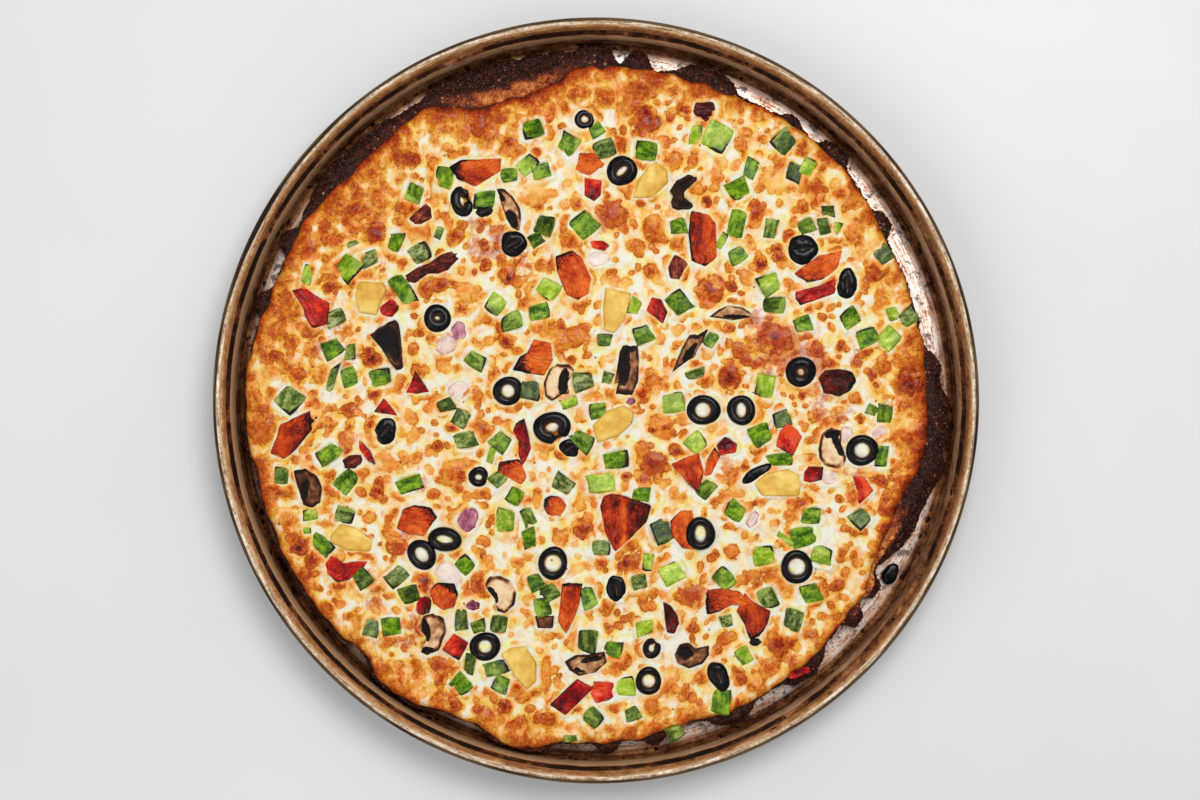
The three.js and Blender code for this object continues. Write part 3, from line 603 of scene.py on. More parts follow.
# charred shreds that are nearly black
shreds = {
    "triangle": topping(-91, 97, 13, 11, 30, tone=0.6, points=[
        (-7.2, -2), (-3.6, 1.6), (1.8, 5.8), (4.8, 4), (5.4, -1.4), (0, -5), (-4.2, -5)]),
    "curvedStrip": topping(-86, 70, 32, 8, 22, tone=0.5, points=[
        (-14.2, -5), (-8.2, -0.8), (-1, 2.2), (5, 6.4), (11, 8.2), (14.6, 4.6), (9.8, -1.4),
        (3.8, -3.8), (-2.2, -3.8), (-8.2, -8.6), (-12.4, -8.6)]),
    "nearTomato": topping(43, 70, 14, 10, 85, tone=0.6, points=[
        (-2, 6.4), (2.3, 4.6), (5.3, 1.6), (2.9, -2.6), (0.5, -7.4), (-4.3, -6.2), (-5.5, 0)]),
    "leftChar": topping(-127, -32, 10, 7, 20, tone=0.5),
    "tomatoEdge": topping(-152, -13, 15, 5, 40, tone=0.3),
    "blackRound": topping(131, 11, 9, 8, tone=0.1),
    "floorBit": topping(83, -126, 6, 4, tone=0.1),
}

# diced green pepper by look: middle x and y, length, width and turn
dice = {
    "bright": [
        (-79, 116, 12, 10, 80), (-95.5, 109, 11, 10, 70), (-28.5, 120, 10, 10, 20),
        (-33, 142, 12, 11, 10), (-14, 134, 12, 11, 60), (25.5, 130.5, 13, 11, -10),
        (81, 122, 11, 7, 70), (74, 110, 12, 11, 30), (-130, 70, 13, 13, 40), (-105, 83, 11, 8, 70),
        (-58, 105, 12, 10, 10), (-102, 58, 18, 10, -55), (-43, 41, 11, 10, 15), (-6, 92, 13, 13, 35),
        (-30, 46, 12, 9, 10), (24, 34, 11, 11, 20), (43, 91, 10, 9, 10), (73, 91, 16, 9, 75),
        (74, 76, 10, 9, 30), (43, 51, 12, 12, 45), (133, 43, 11, 10, 30), (-138, 27, 11, 10, 30),
        (-129, 12, 10, 10, 20), (-113, 12, 12, 10, 10), (-140, -28.5, 13, 11, 40),
        (-50, -22, 12, 10, 50), (1, -5, 12, 8, 10), (-8, -21, 12, 10, -40), (10, -31, 14, 11, 15),
        (86, -18, 13, 11, 30), (97, -31, 17, 7, 5), (141, 33, 11, 10, 20), (149, -29, 12, 8, 80),
        (-131, -43, 11, 10, 50), (-142.5, -76, 12, 9, -38), (-98, -43.5, 14, 9, 18),
        (-42, -51, 10, 9, 60), (-35, -72, 12, 8, -85), (-68.5, -86, 10, 9, 48), (24, -49, 10, 8, -8),
        (-28, -108.5, 10, 9, 10), (-4, -103, 11, 9, -75), (72, -58, 12, 10, -30),
        (112.5, -60, 11, 9, 5), (109, -71, 13, 11, 10), (112, -101, 12, 10, 15), (66, -93, 11, 11, 40),
        (-107, -118, 11, 10, 5), (-53.5, -140, 13, 8, 15), (-70, -148, 10, 10, 45),
        (-50, -148, 10, 9, -30), (9, -130.5, 11, 10, -10), (66, -157, 12, 11, 85),
        (-45.5, 117, 9, 8, 10), (0, 141, 8, 7, 30), (110, 91, 10, 9, 20), (108, 40, 10, 9, 15),
        (4, 31.5, 9, 7, 0), (60, 32, 9, 7, 70), (-32, -95, 9, 9, 20),
    ],
    "light": [
        (-36, 123, 10, 9, 40), (63, 138, 16, 14, 60), (-52, 50, 11, 10, 60), (-25, 57, 12, 12, 50),
        (90, 61, 13, 12, 25), (41, -1, 14, 10, 10), (88, 8, 14, 11, 80), (52, -22, 11, 10, 40),
        (153, 33, 11, 11, 45), (-47, -63, 14, 10, 88), (3, -43, 16, 12, 8), (88, -81, 14, 11, 5),
        (118, -81.5, 12, 11, -15), (15.5, -149.5, 12, 9, 10), (52, 138, 10, 7, 80),
        (111, 122, 10, 8, 60), (-150, 66, 12, 6, 75), (66, 84, 9, 4, 60), (126, 90, 8, 5, 70),
        (155, 45, 8, 7, 20), (-14, -1, 10, 6, 20), (-149, -60, 9, 5, 10), (-151, -68, 4, 4, 0),
        (27.5, -84, 9, 6, 80), (99, -72, 12, 3, -35), (26, -119, 10, 9, 10), (77, -134, 9, 9, 30),
        (20, 49, 9, 7, 70), (-55, -29, 8, 4, 70), (39, -90.5, 13, 12, 25),
    ],
    "dark": [
        (98, 136, 13, 12, 40), (104, 120, 12, 9, 80), (-27, 91, 12, 11, 70), (92.5, 50, 11, 10, 0),
        (150, 76, 10, 9, 45), (-34, 6, 12, 10, 80), (151, -6, 11, 8, 85), (-121, -93.5, 11, 11, 40),
        (-97, -101, 11, 9, 20), (34, -68, 13, 12, 20), (-24.5, -101, 11, 9, 25),
        (-70.5, -114.5, 12, 8, 88), (-51, -117.5, 11, 9, 86), (-4, -126, 13, 11, 80),
        (-82, 87, 7, 4, 70), (119, 91, 9, 9, 10), (121, 99, 8, 6, 0), (-79, -3, 11, 7, 20),
        (52, 14, 11, 5, 15), (98, -9, 10, 9, 20), (-51.5, -41, 10, 9, 40), (-66, -138, 10, 8, 80),
        (-131.5, -60, 11, 10, -10), (-31, 84, 9, 7, 30),
    ],
    "olive": [
        (92, 90, 11, 8, 80), (163, 44, 10, 10, 40), (-63, 21, 13, 9, -35), (-36, -61, 11, 7, -70),
        (3, -77, 11, 9, -5), (58, -46.5, 12, 8, 48), (-117, -118, 11, 9, 70), (-2, -166, 12, 10, -50),
        (-127, 82, 6, 3, 20), (-61, -118, 8, 7, 10), (19, -164, 8, 8, 20), (-14, -177, 7, 4, 10),
        (41, -174, 8, 8, 30), (54, -132, 6, 4, 0), (-128.5, 26, 9, 6, 80), (144, -5, 7, 6, 70),
    ],
    "grey": [
        (4, 131, 12, 11, 15), (-93, 77, 10, 10, 30), (-160, 0, 14, 13, 45), (-70, -9, 10, 9, 60),
        (-68, -21, 12, 10, 10), (-7, 10, 13, 11, 10), (-104, -92, 13, 9, 40), (-17, -44, 12, 9, -35),
        (22, -95, 10, 9, 8), (90, -104, 12, 11, -70), (103, -115, 13, 10, 75), (138, -61, 10, 10, 38),
        (-119, 74, 10, 8, 20), (-138, 10, 17, 5, 75), (-165, -39, 10, 8, 80), (68, -115, 9, 6, 10),
        (6, 12, 8, 5, 70), (-136, 43, 10, 9, 20),
    ],
}

# how far each kind stands out of the cheese, and how square its outline is, from 2 for an oval
kinds = {
    "olive": {"rise": 3.2, "square": 2},
    "tomato": {"rise": 3.2, "square": 3},
    "pepper": {"rise": 3, "square": 4},
    "mushroom": {"rise": 2.8, "square": 2.2},
    "pineapple": {"rise": 3.8, "square": 3.2},
    "small": {"rise": 2.2, "square": 2.6},
    "die": {"rise": 2, "square": 6},
}
rootDepth = 2.4


def riseOf(kind, name):
    return kinds[kind if "_" in name else "small"]["rise"]


def turned(piece, along, across):
    turn = math.radians(piece["turn"])
    x = piece["at"][0] + along * math.cos(turn) - across * math.sin(turn)
    y = piece["at"][1] + along * math.sin(turn) + across * math.cos(turn)
    return x, y


def phaseOf(piece):
    # a number of each piece's own, so that no two bend alike
    return 0.7 * piece["at"][0] + 1.3 * piece["at"][1]


def sharesOf(piece, dx, dy):
    # a place, given from the piece's middle, as shares of its half length and half width
    turn = math.radians(piece["turn"])
    along = (dx * math.cos(turn) + dy * math.sin(turn)) / (piece["size"][0] / 2)
    across = (-dx * math.sin(turn) + dy * math.cos(turn)) / (piece["size"][1] / 2)
    return along, across


def polygonReach(angle, turns, reaches):
    # how far a polygon reaches in each direction from its middle
    corners = len(turns)
    before = np.searchsorted(turns, angle, side="right") - 1
    after = (before + 1) % corners
    span = (turns[after] - turns[before]) % math.tau
    into = (angle - turns[before]) % math.tau
    near, far = reaches[before], reaches[after]
    return near * far * np.sin(span) / (near * np.sin(into) + far * np.sin(span - into))


def cornersOf(piece):
    # a piece's corners as directions and reaches: its own points, or uneven ones drawn for it
    if "points" in piece:
        along, across = sharesOf(piece, *np.array(piece["points"]).T)
        turns, reaches = np.arctan2(across, along) % math.tau, np.hypot(along, across)
        order = np.argsort(turns)
        return turns[order], reaches[order]
    own = np.random.default_rng(int(10000 + 7 * piece["at"][0] + 13 * piece["at"][1]))
    count = piece["corners"]
    turns = (np.arange(count) + own.uniform(-0.2, 0.2, count) + own.uniform()) * math.tau / count
    return np.sort(turns % math.tau), own.uniform(1.0, 1.28, count)


def shareInside(piece, square, x, y):
    # 0 in the middle of a piece, 1 at its outline, more outside it
    along, across = sharesOf(piece, x - piece["at"][0], y - piece["at"][1])
    if "points" in piece:
        angle = np.arctan2(across, along) % math.tau
        return np.hypot(along, across) / polygonReach(angle, *cornersOf(piece))
    return (np.abs(along) ** square + np.abs(across) ** square) ** (1 / square)


# every topping with how square it is, for the bed that it lies in
laid = []
for kind, group in (("olive", olives), ("tomato", tomatoes), ("pepper", peppers), ("mushroom", mushrooms),
                    ("pineapple", pineapples), ("small", onions), ("small", shreds)):
    for piece in group.values():
        laid.append((piece, kinds[kind]["square"]))
for rows in dice.values():
    for row in rows:
        laid.append((topping(*row), kinds["die"]["square"]))


# meshes

def makePiece(name, points, faces, layers, material, nodes=()):
    # points in millimetres, faces as arrays of corner numbers, layers as a value for each point
    mesh = bpy.data.meshes.new(name)
    mesh.vertices.add(len(points))
    mesh.vertices.foreach_set("co", (np.asarray(points) * mm).ravel())
    corners = np.concatenate([np.asarray(group).ravel() for group in faces]).astype(np.int32)
    sizes = np.concatenate([np.full(len(group), np.asarray(group).shape[1]) for group in faces])
    mesh.loops.add(len(corners))
    mesh.loops.foreach_set("vertex_index", corners)
    mesh.polygons.add(len(sizes))
    mesh.polygons.foreach_set("loop_start", np.concatenate([[0], np.cumsum(sizes)[:-1]]).astype(np.int32))
    mesh.polygons.foreach_set("use_smooth", np.ones(len(sizes), bool))
    mesh.update(calc_edges=True)
    for layer, values in layers.items():
        values = np.asarray(values, dtype=np.float32)
        kind = "FLOAT_VECTOR" if values.ndim == 2 else "FLOAT"
        attribute = mesh.attributes.new(layer, kind, "POINT")
        attribute.data.foreach_set("vector" if values.ndim == 2 else "value", values.ravel())
    mesh.validate()
    mesh.materials.append(material)
    made = placed(name, mesh)
    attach(made, "root")
    if nodes:
        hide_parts(*nodes)
    print(name, len(mesh.vertices), "points", sum(len(p.vertices) - 2 for p in mesh.polygons), "triangles")
    return made


def roundPairs(around):
    # each number round a ring, and the one after it
    row = np.arange(around)
    return row, (row + 1) % around


def ringFaces(rings, around, first=0):
    # quads between rows of points that run round, row after row
    row, after = roundPairs(around)
    quads = []
    for k in range(rings - 1):
        low, high = first + k * around, first + (k + 1) * around
        quads.append(np.stack([low + row, high + row, high + after, low + after], 1))
    return np.concatenate(quads)


def poleFaces(pole, ring, around, outward=True):
    row, after = roundPairs(around)
    pair = (ring + row, ring + after) if outward else (ring + after, ring + row)
    return np.stack([np.full(around, pole), *pair], 1)


def capFaces(over, first, under, last, around):
    # fans that close the first ring to the pole over it and the last ring to the pole under it
    return np.concatenate([poleFaces(over, first, around), poleFaces(under, last, around, outward=False)])


def bodyFaces(rings, around):
    # the faces of a body with a point on top, then its rings, then a point below
    below = 1 + rings * around
    return ringFaces(rings, around, first=1), capFaces(0, 1, below, below - around, around)


class Batch:
    # gathers many small closed bodies into one mesh
    def __init__(self):
        self.points = []
        self.quads = []
        self.triangles = []
        self.layers = {}
        self.count = 0

    def take(self, points, layers, quads, triangles=None):
        self.points.append(points)
        self.quads.append(quads + self.count)
        if triangles is not None:
            self.triangles.append(triangles + self.count)
        for layer, values in layers.items():
            self.layers.setdefault(layer, []).append(values)
        self.count += len(points)

    def make(self, name, material, nodes=()):
        faces = [np.concatenate(self.quads)]
        if self.triangles:
            faces.append(np.concatenate(self.triangles))
        layers = {layer: np.concatenate(values) for layer, values in self.layers.items()}
        return makePiece(name, np.concatenate(self.points), faces, layers, material, nodes)


# the cheese

cheese = {
    "cells": 306,  # along each side of the grid that is pulled into a disc
    "edgeWander": 1.2,
    "browWidth": 5,
    "edgeDrop": 2.5,
    "bedDepth": 1.5,  # how far it sinks under a topping
    "collarRise": 1.5,  # how far it climbs beside one
    "lapRise": 1.5,  # and where it runs over one
    "holeFill": 1.7,  # how far it fills an olive's hole
    "lipRise": 0.9,
    "lipInset": 4,
    "lipHalf": 2.6,
    "scorchWidth": 3.5,
    "scorchMore": 5,  # how much wider the scorch is where the skirt beside it is wide
    "placedRise": 1.3,
    "placedWander": 1.6,
}
# blisters by size: spacing, least and most radius, the share of places that have one, their rise,
# how far they toast, how rough they are, and how far their outlines wander
blisterGroups = [
    {"spacing": 6.6, "least": 1.3, "most": 2.9, "share": 0.74, "rise": 0.8, "toast": 0.96, "crusty": 0.15,
     "wander": 0.5, "seed": 151},
    {"spacing": 11, "least": 2.3, "most": 4.4, "share": 0.8, "rise": 1.4, "toast": 0.98, "crusty": 0.6,
     "wander": 0.9, "seed": 251},
    {"spacing": 26, "least": 4.6, "most": 8.2, "share": 0.66, "rise": 1.8, "toast": 0.94, "crusty": 0.7,
     "wander": 1.2, "seed": 351},
]
mounds = {"spacing": 13, "least": 4.5, "most": 7, "share": 0.92, "rise": 1.5, "wander": 2, "seed": 451}
# large blisters with a place of their own: middle, length, width and how far each is toasted
largeBlisters = [
    (-11, 34, 13, 11, 0.8), (30, 10, 8, 8, 0.8), (70, 12, 11, 14, 1.0), (79, 22, 8, 8, 0.9),
    (-129, -5, 10, 8, 0.9), (-130, -20, 9, 9, 0.8), (-61, 143, 10, 10, 0.9), (26, 150, 10, 9, 1.0),
    (-155, -77, 10, 9, 1.1), (-168, -45, 8, 8, 1.0), (-118, -61, 6, 6, 0.7), (-67, -101, 6, 6, 0.8),
    (-7, -67, 10, 11, 0.95), (-19, -72, 8, 8, 0.7), (-31, -52, 7, 10, 0.7), (-9, -55, 7, 7, 0.7),
    (15, -84, 7, 7, 0.6), (32, -77, 6, 6, 0.6), (71, -79, 9, 7, 0.8), (55, -86, 4, 4, 0.7),
    (83, -91, 7, 4, 0.8), (76, -94, 8, 6, 0.8), (70, -66, 7, 4, 0.8), (93, -64, 5, 5, 0.8),
    (103, -54, 6, 5, 0.8), (83, -54, 4, 4, 1.0), (-83, -138, 7, 9, 0.9), (51, -119, 7, 6, 0.9),
    (76, -146, 6, 6, 0.9), (97, -132, 6, 8, 0.9), (50, -102, 20, 12, 0.9), (8, 97, 18, 14, 0.9),
    (94, 32, 18, 16, 1.0), (27, 145, 14, 10, 1.0), (60, 58, 15, 16, 0.95), (30, -33, 16, 12, 1.0),
    (24, -26, 8, 9, 0.8), (-115, 88, 10, 12, 0.95), (-126, 100, 8, 7, 0.9), (-150, 76, 8, 8, 0.8),
    (-142, 92, 7, 6, 0.8), (-96, 126, 9, 8, 0.9), (-148, -10, 12, 14, 1.0), (-108, 57, 10, 8, 0.9),
    (-26, -143, 5, 20, 0.7), (-104, -76, 12, 10, 0.9), (163, 10, 12, 16, 0.9), (150, 18, 9, 9, 0.8),
]

# where the oven caught the cheese more, and less: middle, reach and how much
warmPatches = [
    (-150, 60, 40, 0.2), (-150, -40, 35, 0.14), (-120, 105, 40, 0.2), (-70, 145, 30, 0.16),
    (165, 0, 30, 0.22), (110, 115, 26, 0.1), (20, 155, 34, 0.16), (-60, 20, 45, 0.1),
    (60, 20, 40, 0.08), (-20, -60, 40, 0.06), (30, 100, 26, 0.1), (100, 30, 30, 0.14),
    (-20, 45, 30, 0.1), (90, 115, 20, -0.1), (-60, -140, 30, -0.16), (60, 60, 20, -0.06),
    (0, 10, 22, -0.14), (110, -110, 40, -0.14), (40, -150, 30, -0.1), (-30, 100, 26, -0.08),
    (-95, -20, 25, -0.05), (120, 60, 24, -0.06), (120, -60, 26, -0.1), (-120, -115, 30, 0.02),
]
# where the red sauce shows through: middle and reach
saucePatches = [
    (-148, 28, 8), (-60, 90, 12), (95, 20, 12), (110, 25, 10), (30, -33, 8), (-116, -105, 8),
    (-103, -127, 10), (12, -113, 7), (-60, 76, 8), (-108, 57, 8), (8, 97, 12), (94, 32, 14),
    (27, 145, 8), (50, -102, 12), (-72, 5, 8), (130, -10, 10), (-100, -75, 10), (70, -35, 8),
    (-130, -20, 7), (135, -40, 8), (118, 16, 12), (136, 22, 7), (-140, 42, 10), (-130, 20, 9),
    (-112, 36, 8), (-46, 82, 10), (-36, 68, 7), (-94, -116, 9), (-84, -100, 8), (-78, 30, 9),
    (-100, -22, 8), (-94, -42, 8), (118, -4, 9), (82, 40, 9),
]

# how much hotter it is near the edge, and between which distances from it that fades
rimHeat = [(0.4, 4, 40), (0.2, 0, 12)]
toasting = {
    "plain": 0.16,
    "byHeat": 0.54,
    "byChance": 0.2,
    "lessWhereMilky": 0.5,
    "scorched": 0.92,
    "scorchLeast": 0.26,
    "scorchMore": 0.6,
}


def discGrid(count):
    # a square grid pulled into a disc, with even cells and a true round edge
    side = np.linspace(-1, 1, count)
    u, v = np.meshgrid(side, side)
    wide = np.abs(u) >= np.abs(v)
    reach = np.where(wide, u, v)
    ratio = np.where(wide, v, u) / reach
    turn = np.where(wide, math.pi / 4 * ratio, math.pi / 2 - math.pi / 4 * ratio)
    return reach * np.cos(turn), reach * np.sin(turn)


def gridEdge(count):
    # point numbers once round the grid's edge, anticlockwise
    numbers = np.arange(count * count).reshape(count, count)
    return np.concatenate([numbers[0, :-1], numbers[:-1, -1], numbers[-1, :0:-1], numbers[:0:-1, 0]])


def heatAt(x, y):
    angle = np.degrees(np.arctan2(y, x)) % 360
    inward = cheeseRadius(angle) - np.hypot(x, y)
    wander = 9 * softNoise(x, y, 30, 31)
    heat = sum(amount * (1 - smooth(inward + wander, near, far)) for amount, near, far in rimHeat)
    for px, py, reach, amount in warmPatches:
        heat += amount * np.exp(-((x - px) ** 2 + (y - py) ** 2) / reach**2)
    return np.clip(heat + 0.1 * softNoise(x, y, 34, 32), 0, 1)


def blistersByHand(x, y):
    # the large blisters: how far inside one a point lies, and how far that one is toasted
    inside = np.full_like(x, nowhere)
    toast = np.zeros_like(x)
    for px, py, long, wide, amount in largeBlisters:
        here = 1 - np.hypot((x - px) / (long / 2), (y - py) / (wide / 2))
        better = here > inside
        inside = np.where(better, here, inside)
        toast = np.where(better, amount, toast)
    return inside, toast


def cheeseSurface(x, y):
    # height above the plain surface, and the layers that colour it
    heat = heatAt(x, y)
    relief = np.zeros_like(x)
    inside = np.full_like(x, faded)
    strength = np.zeros_like(x)
    crusty = np.zeros_like(x)
    clustered = 0.55 + 0.45 * smooth(roughNoise(x, y, 26, 61, 2) + 0.5 * heat, -0.35, 0.25)

    def join(here, power, rise, rough):
        # the blister that a point lies deepest in gives its colour
        nonlocal relief, inside, strength, crusty
        better = here * (0.4 + 0.6 * power) > inside * (0.4 + 0.6 * strength)
        inside = np.where(better, here, inside)
        strength = np.where(better, power, strength)
        crusty = np.where(better, rough, crusty)
        relief = np.maximum(relief, rise * np.sqrt(smooth(here, -0.12, 1.0)))

    for group in blisterGroups:
        wander, seed = group["wander"], group["seed"]
        here, own = blisters(*pushed(x, y, wander, 2 + 4 * wander, seed + 11, seed + 21), group)
        power = group["toast"] * (0.6 + 0.4 * own) * (1.04 - 0.54 * smooth(heat, 0.22, 0.55)) * clustered
        join(here, power, group["rise"] * (0.5 + 0.5 * own), group["crusty"] * (0.2 + 1.6 * own))
    large, toast = blistersByHand(*pushed(x, y, cheese["placedWander"], 6, 43, 46))
    join(large, toast, cheese["placedRise"] * toast, smooth(toast, 0.75, 1.0))
    clouds = roughNoise(x, y, 17, 71, 3)
    base = toasting["plain"] + toasting["byHeat"] * heat + toasting["byChance"] * clouds
    base = np.clip(base, 0.05, 0.8) * (1 - toasting["lessWhereMilky"] * smooth(clouds, 0.0, 0.4))
    # where it is hot the cheese rose in mounds, toasted on top with pale seams between them
    mound, _ = blisters(*pushed(x, y, mounds["wander"], 9, 65, 67), mounds)
    hot = smooth(heat, 0.16, 0.42)
    relief = relief + mounds["rise"] * hot * np.sqrt(smooth(mound, -0.15, 1.0))
    base = base + hot * (0.1 * smooth(mound, 0.1, 0.8) - 0.16 * (1 - smooth(mound, -0.4, 0.1)))
    relief = relief + 0.12 * roughNoise(x, y, 3.4, 81, 2) + 0.5 * roughNoise(x, y, 14, 85, 2)
    sauce = np.zeros_like(x)
    for px, py, reach in saucePatches:
        sauce += np.exp(-((x - px) ** 2 + (y - py) ** 2) / reach**2)
    sauce = np.clip(sauce * (0.75 + 0.9 * roughNoise(x, y, 8, 91, 3)), 0, 1)
    layers = {"base": base, "inside": inside, "strength": strength, "crusty": crusty, "sauce": sauce,
              "heat": heat}
    return relief, layers


def bedding(x, y):
    # what the toppings do to the cheese: sunk under them, raised beside them, and paler there
    lift, pale, sunk, filled, fill = [np.zeros_like(x) for _ in range(5)]
    ragged = 0.9 * roughNoise(x, y, 4, 101, 2)
    lapping = smooth(roughNoise(x, y, 8, 103, 2), 0.1, 0.55)  # where the cheese ran over a piece's edge
    for piece, square in laid:
        reach = max(piece["size"]) * 0.75 + 4
        near = np.nonzero((np.abs(x - piece["at"][0]) < reach) & (np.abs(y - piece["at"][1]) < reach))[0]
        if not len(near):
            continue
        half = min(piece["size"]) / 2
        outside = (shareInside(piece, square, x[near], y[near]) - 1) * half + ragged[near]
        under = 1 - smooth(outside + 0.9 * lapping[near], -2.5, -1.0)
        beside = np.exp(-((outside - 0.4) ** 2) / 1.5)
        collar = cheese["collarRise"] * min(max(half / 5, 0.3), 1)
        lift[near] = np.maximum(lift[near], collar * beside)
        lap = cheese["lapRise"] * lapping[near] * bell(outside + 0.7, 1.3)
        lift[near] = np.maximum(lift[near], lap)
        sunk[near] = np.maximum(sunk[near], under)
        pale[near] = np.maximum(pale[near], bell(outside, 1.7))
        if "hole" in piece:
            hole = dict(piece, size=piece["hole"])
            inHole = 1 - smooth(shareInside(hole, 2, x[near], y[near]), 0.8, 1.25)
            level = cheese["holeFill"] + piece.get("lift", 0)
            fill[near] = np.where(inHole > filled[near], level, fill[near])
            filled[near] = np.maximum(filled[near], inHole)
            pale[near] = np.maximum(pale[near], 1.6 * inHole)
    lift = lift * (1 - sunk) - cheese["bedDepth"] * sunk
    return lift * (1 - filled) + fill * filled, pale


def cheeseFinish():
    finish = Finish("meltedCheese", Specular_IOR_Level=0.14, Coat_Roughness=0.1)
    place = finish.place()
    fine = finish.noise(place, 1.3, 4, 0.65)
    soft = finish.noise(place, 5, 3)
    wrinkles = finish.noise(finish.shaken(place, 5, 3), 1.9, 3, 0.6, 0.8)
    milk = finish.noise(place, 11, 3)
    crusty = finish.layer("crusty")
    inside = finish.layer("inside") + (soft - 0.5) * (0.5 - crusty * 0.3)
    inside = inside + (wrinkles - 0.5) * (0.34 - crusty * 0.18)
    strength = finish.layer("strength")
    halo = inside.between(-0.8, 0.0)
    disc = inside.between(-0.1, 0.12)
    core = inside.between(0.2, 0.8)
    ring = disc * (1 - inside.between(0.1, 0.5))
    strands = finish.noise(finish.stretched(finish.shaken(place, 20, 22), (1, 0.45, 1)), 3.4, 3, 0.55)
    base = finish.layer("base")
    uneven = (soft - 0.5) * 0.3 + (strands - 0.5) * 0.56 + (fine - 0.5) * 0.3
    base = (base + uneven * base.between(0.02, 0.3, 0.3, 1.1)).most(0)
    spotted = halo * 0.2 + disc * 0.26 + ring * 0.19 + core * crusty * 0.42
    toast = 1 - (1 - base) * (1 - strength * spotted)
    toast = toast + (wrinkles - 0.5) * (toast.between(0.25, 0.6) * 0.55 + crusty * disc * 0.3)
    colour = finish.ramp(toast, [
        (0.04, 241, 237, 220), (0.14, 243, 221, 176), (0.26, 242, 196, 120), (0.36, 238, 171, 76),
        (0.45, 234, 148, 52), (0.54, 226, 124, 38), (0.64, 208, 98, 30), (0.75, 182, 70, 22),
        (0.87, 140, 44, 16), (0.97, 80, 24, 10),
    ])
    paler = milk.between(0.43, 0.58) * (1 - toast.between(0.12, 0.34))
    colour = finish.blend(paler * 0.85, colour, tint(234, 236, 224))
    # painted glints: small bright specks on the blisters stand in for the light's shine on the wet cheese
    colour = finish.blend(fine.between(0.6, 0.74) * disc * 0.45, colour, tint(254, 220, 160))
    specks, ownSpeck, _ = finish.bubbles(finish.shaken(place, 2, 1), 4.6, 0.03, 0.2)
    specks = specks.between(0.0, 0.3) * ownSpeck.between(0.76, 0.86)
    colour = finish.blend(specks * 0.8, colour, tint(128, 54, 22))
    sauce = finish.layer("sauce") + (wrinkles - 0.5) * 1.2 + (soft - 0.5) * 1.0
    colour = finish.blend(sauce.between(0.5, 0.9) * 0.65, colour, tint(208, 98, 58))
    colour = finish.blend(sauce.between(0.95, 1.25) * 0.7, colour, tint(150, 44, 24))
    # the large blisters and some places run to red, and the halos to yellow
    hue = finish.noise(place, 7, 3)
    reddened = finish.blend(1.0, colour, tint(255, 214, 190), "MULTIPLY")
    red = (hue.between(0.5, 0.66) * (0.3 + toast.between(0.1, 0.3) * 0.6) + core * crusty).least(1)
    colour = finish.blend(red, colour, reddened)
    yellowed = finish.blend(1.0, colour, tint(255, 250, 192), "MULTIPLY")
    yellow = (1 - hue.between(0.36, 0.48) + halo * (1 - disc) * strength * 0.8).least(1)
    colour = finish.blend(yellow * (1 - red), colour, yellowed)
    hot = finish.layer("heat").between(0.12, 0.42) * (1 - core * crusty)
    orange = finish.blend(1.0, colour, tint(140, 20, 0), "SCREEN")
    orange = finish.blend(1.0, orange, tint(255, 250, 116), "MULTIPLY")
    colour = finish.blend(hot * toast.between(0.2, 0.4), colour, orange)
    browned = toast.between(0.3, 0.8)
    height = wrinkles * (0.3 + browned * 0.7) + fine * (0.2 + browned * 0.4) + soft * 0.6 + strands * 0.4
    relief = finish.bump(height, 1.2)
    rough = 0.3 + fine.between(0.3, 0.7) * 0.14
    oil = 0.05 + toast.between(0.2, 0.5) * 0.1
    return finish.wear(Base_Color=colour, Roughness=rough, Coat_Weight=oil, Normal=relief)


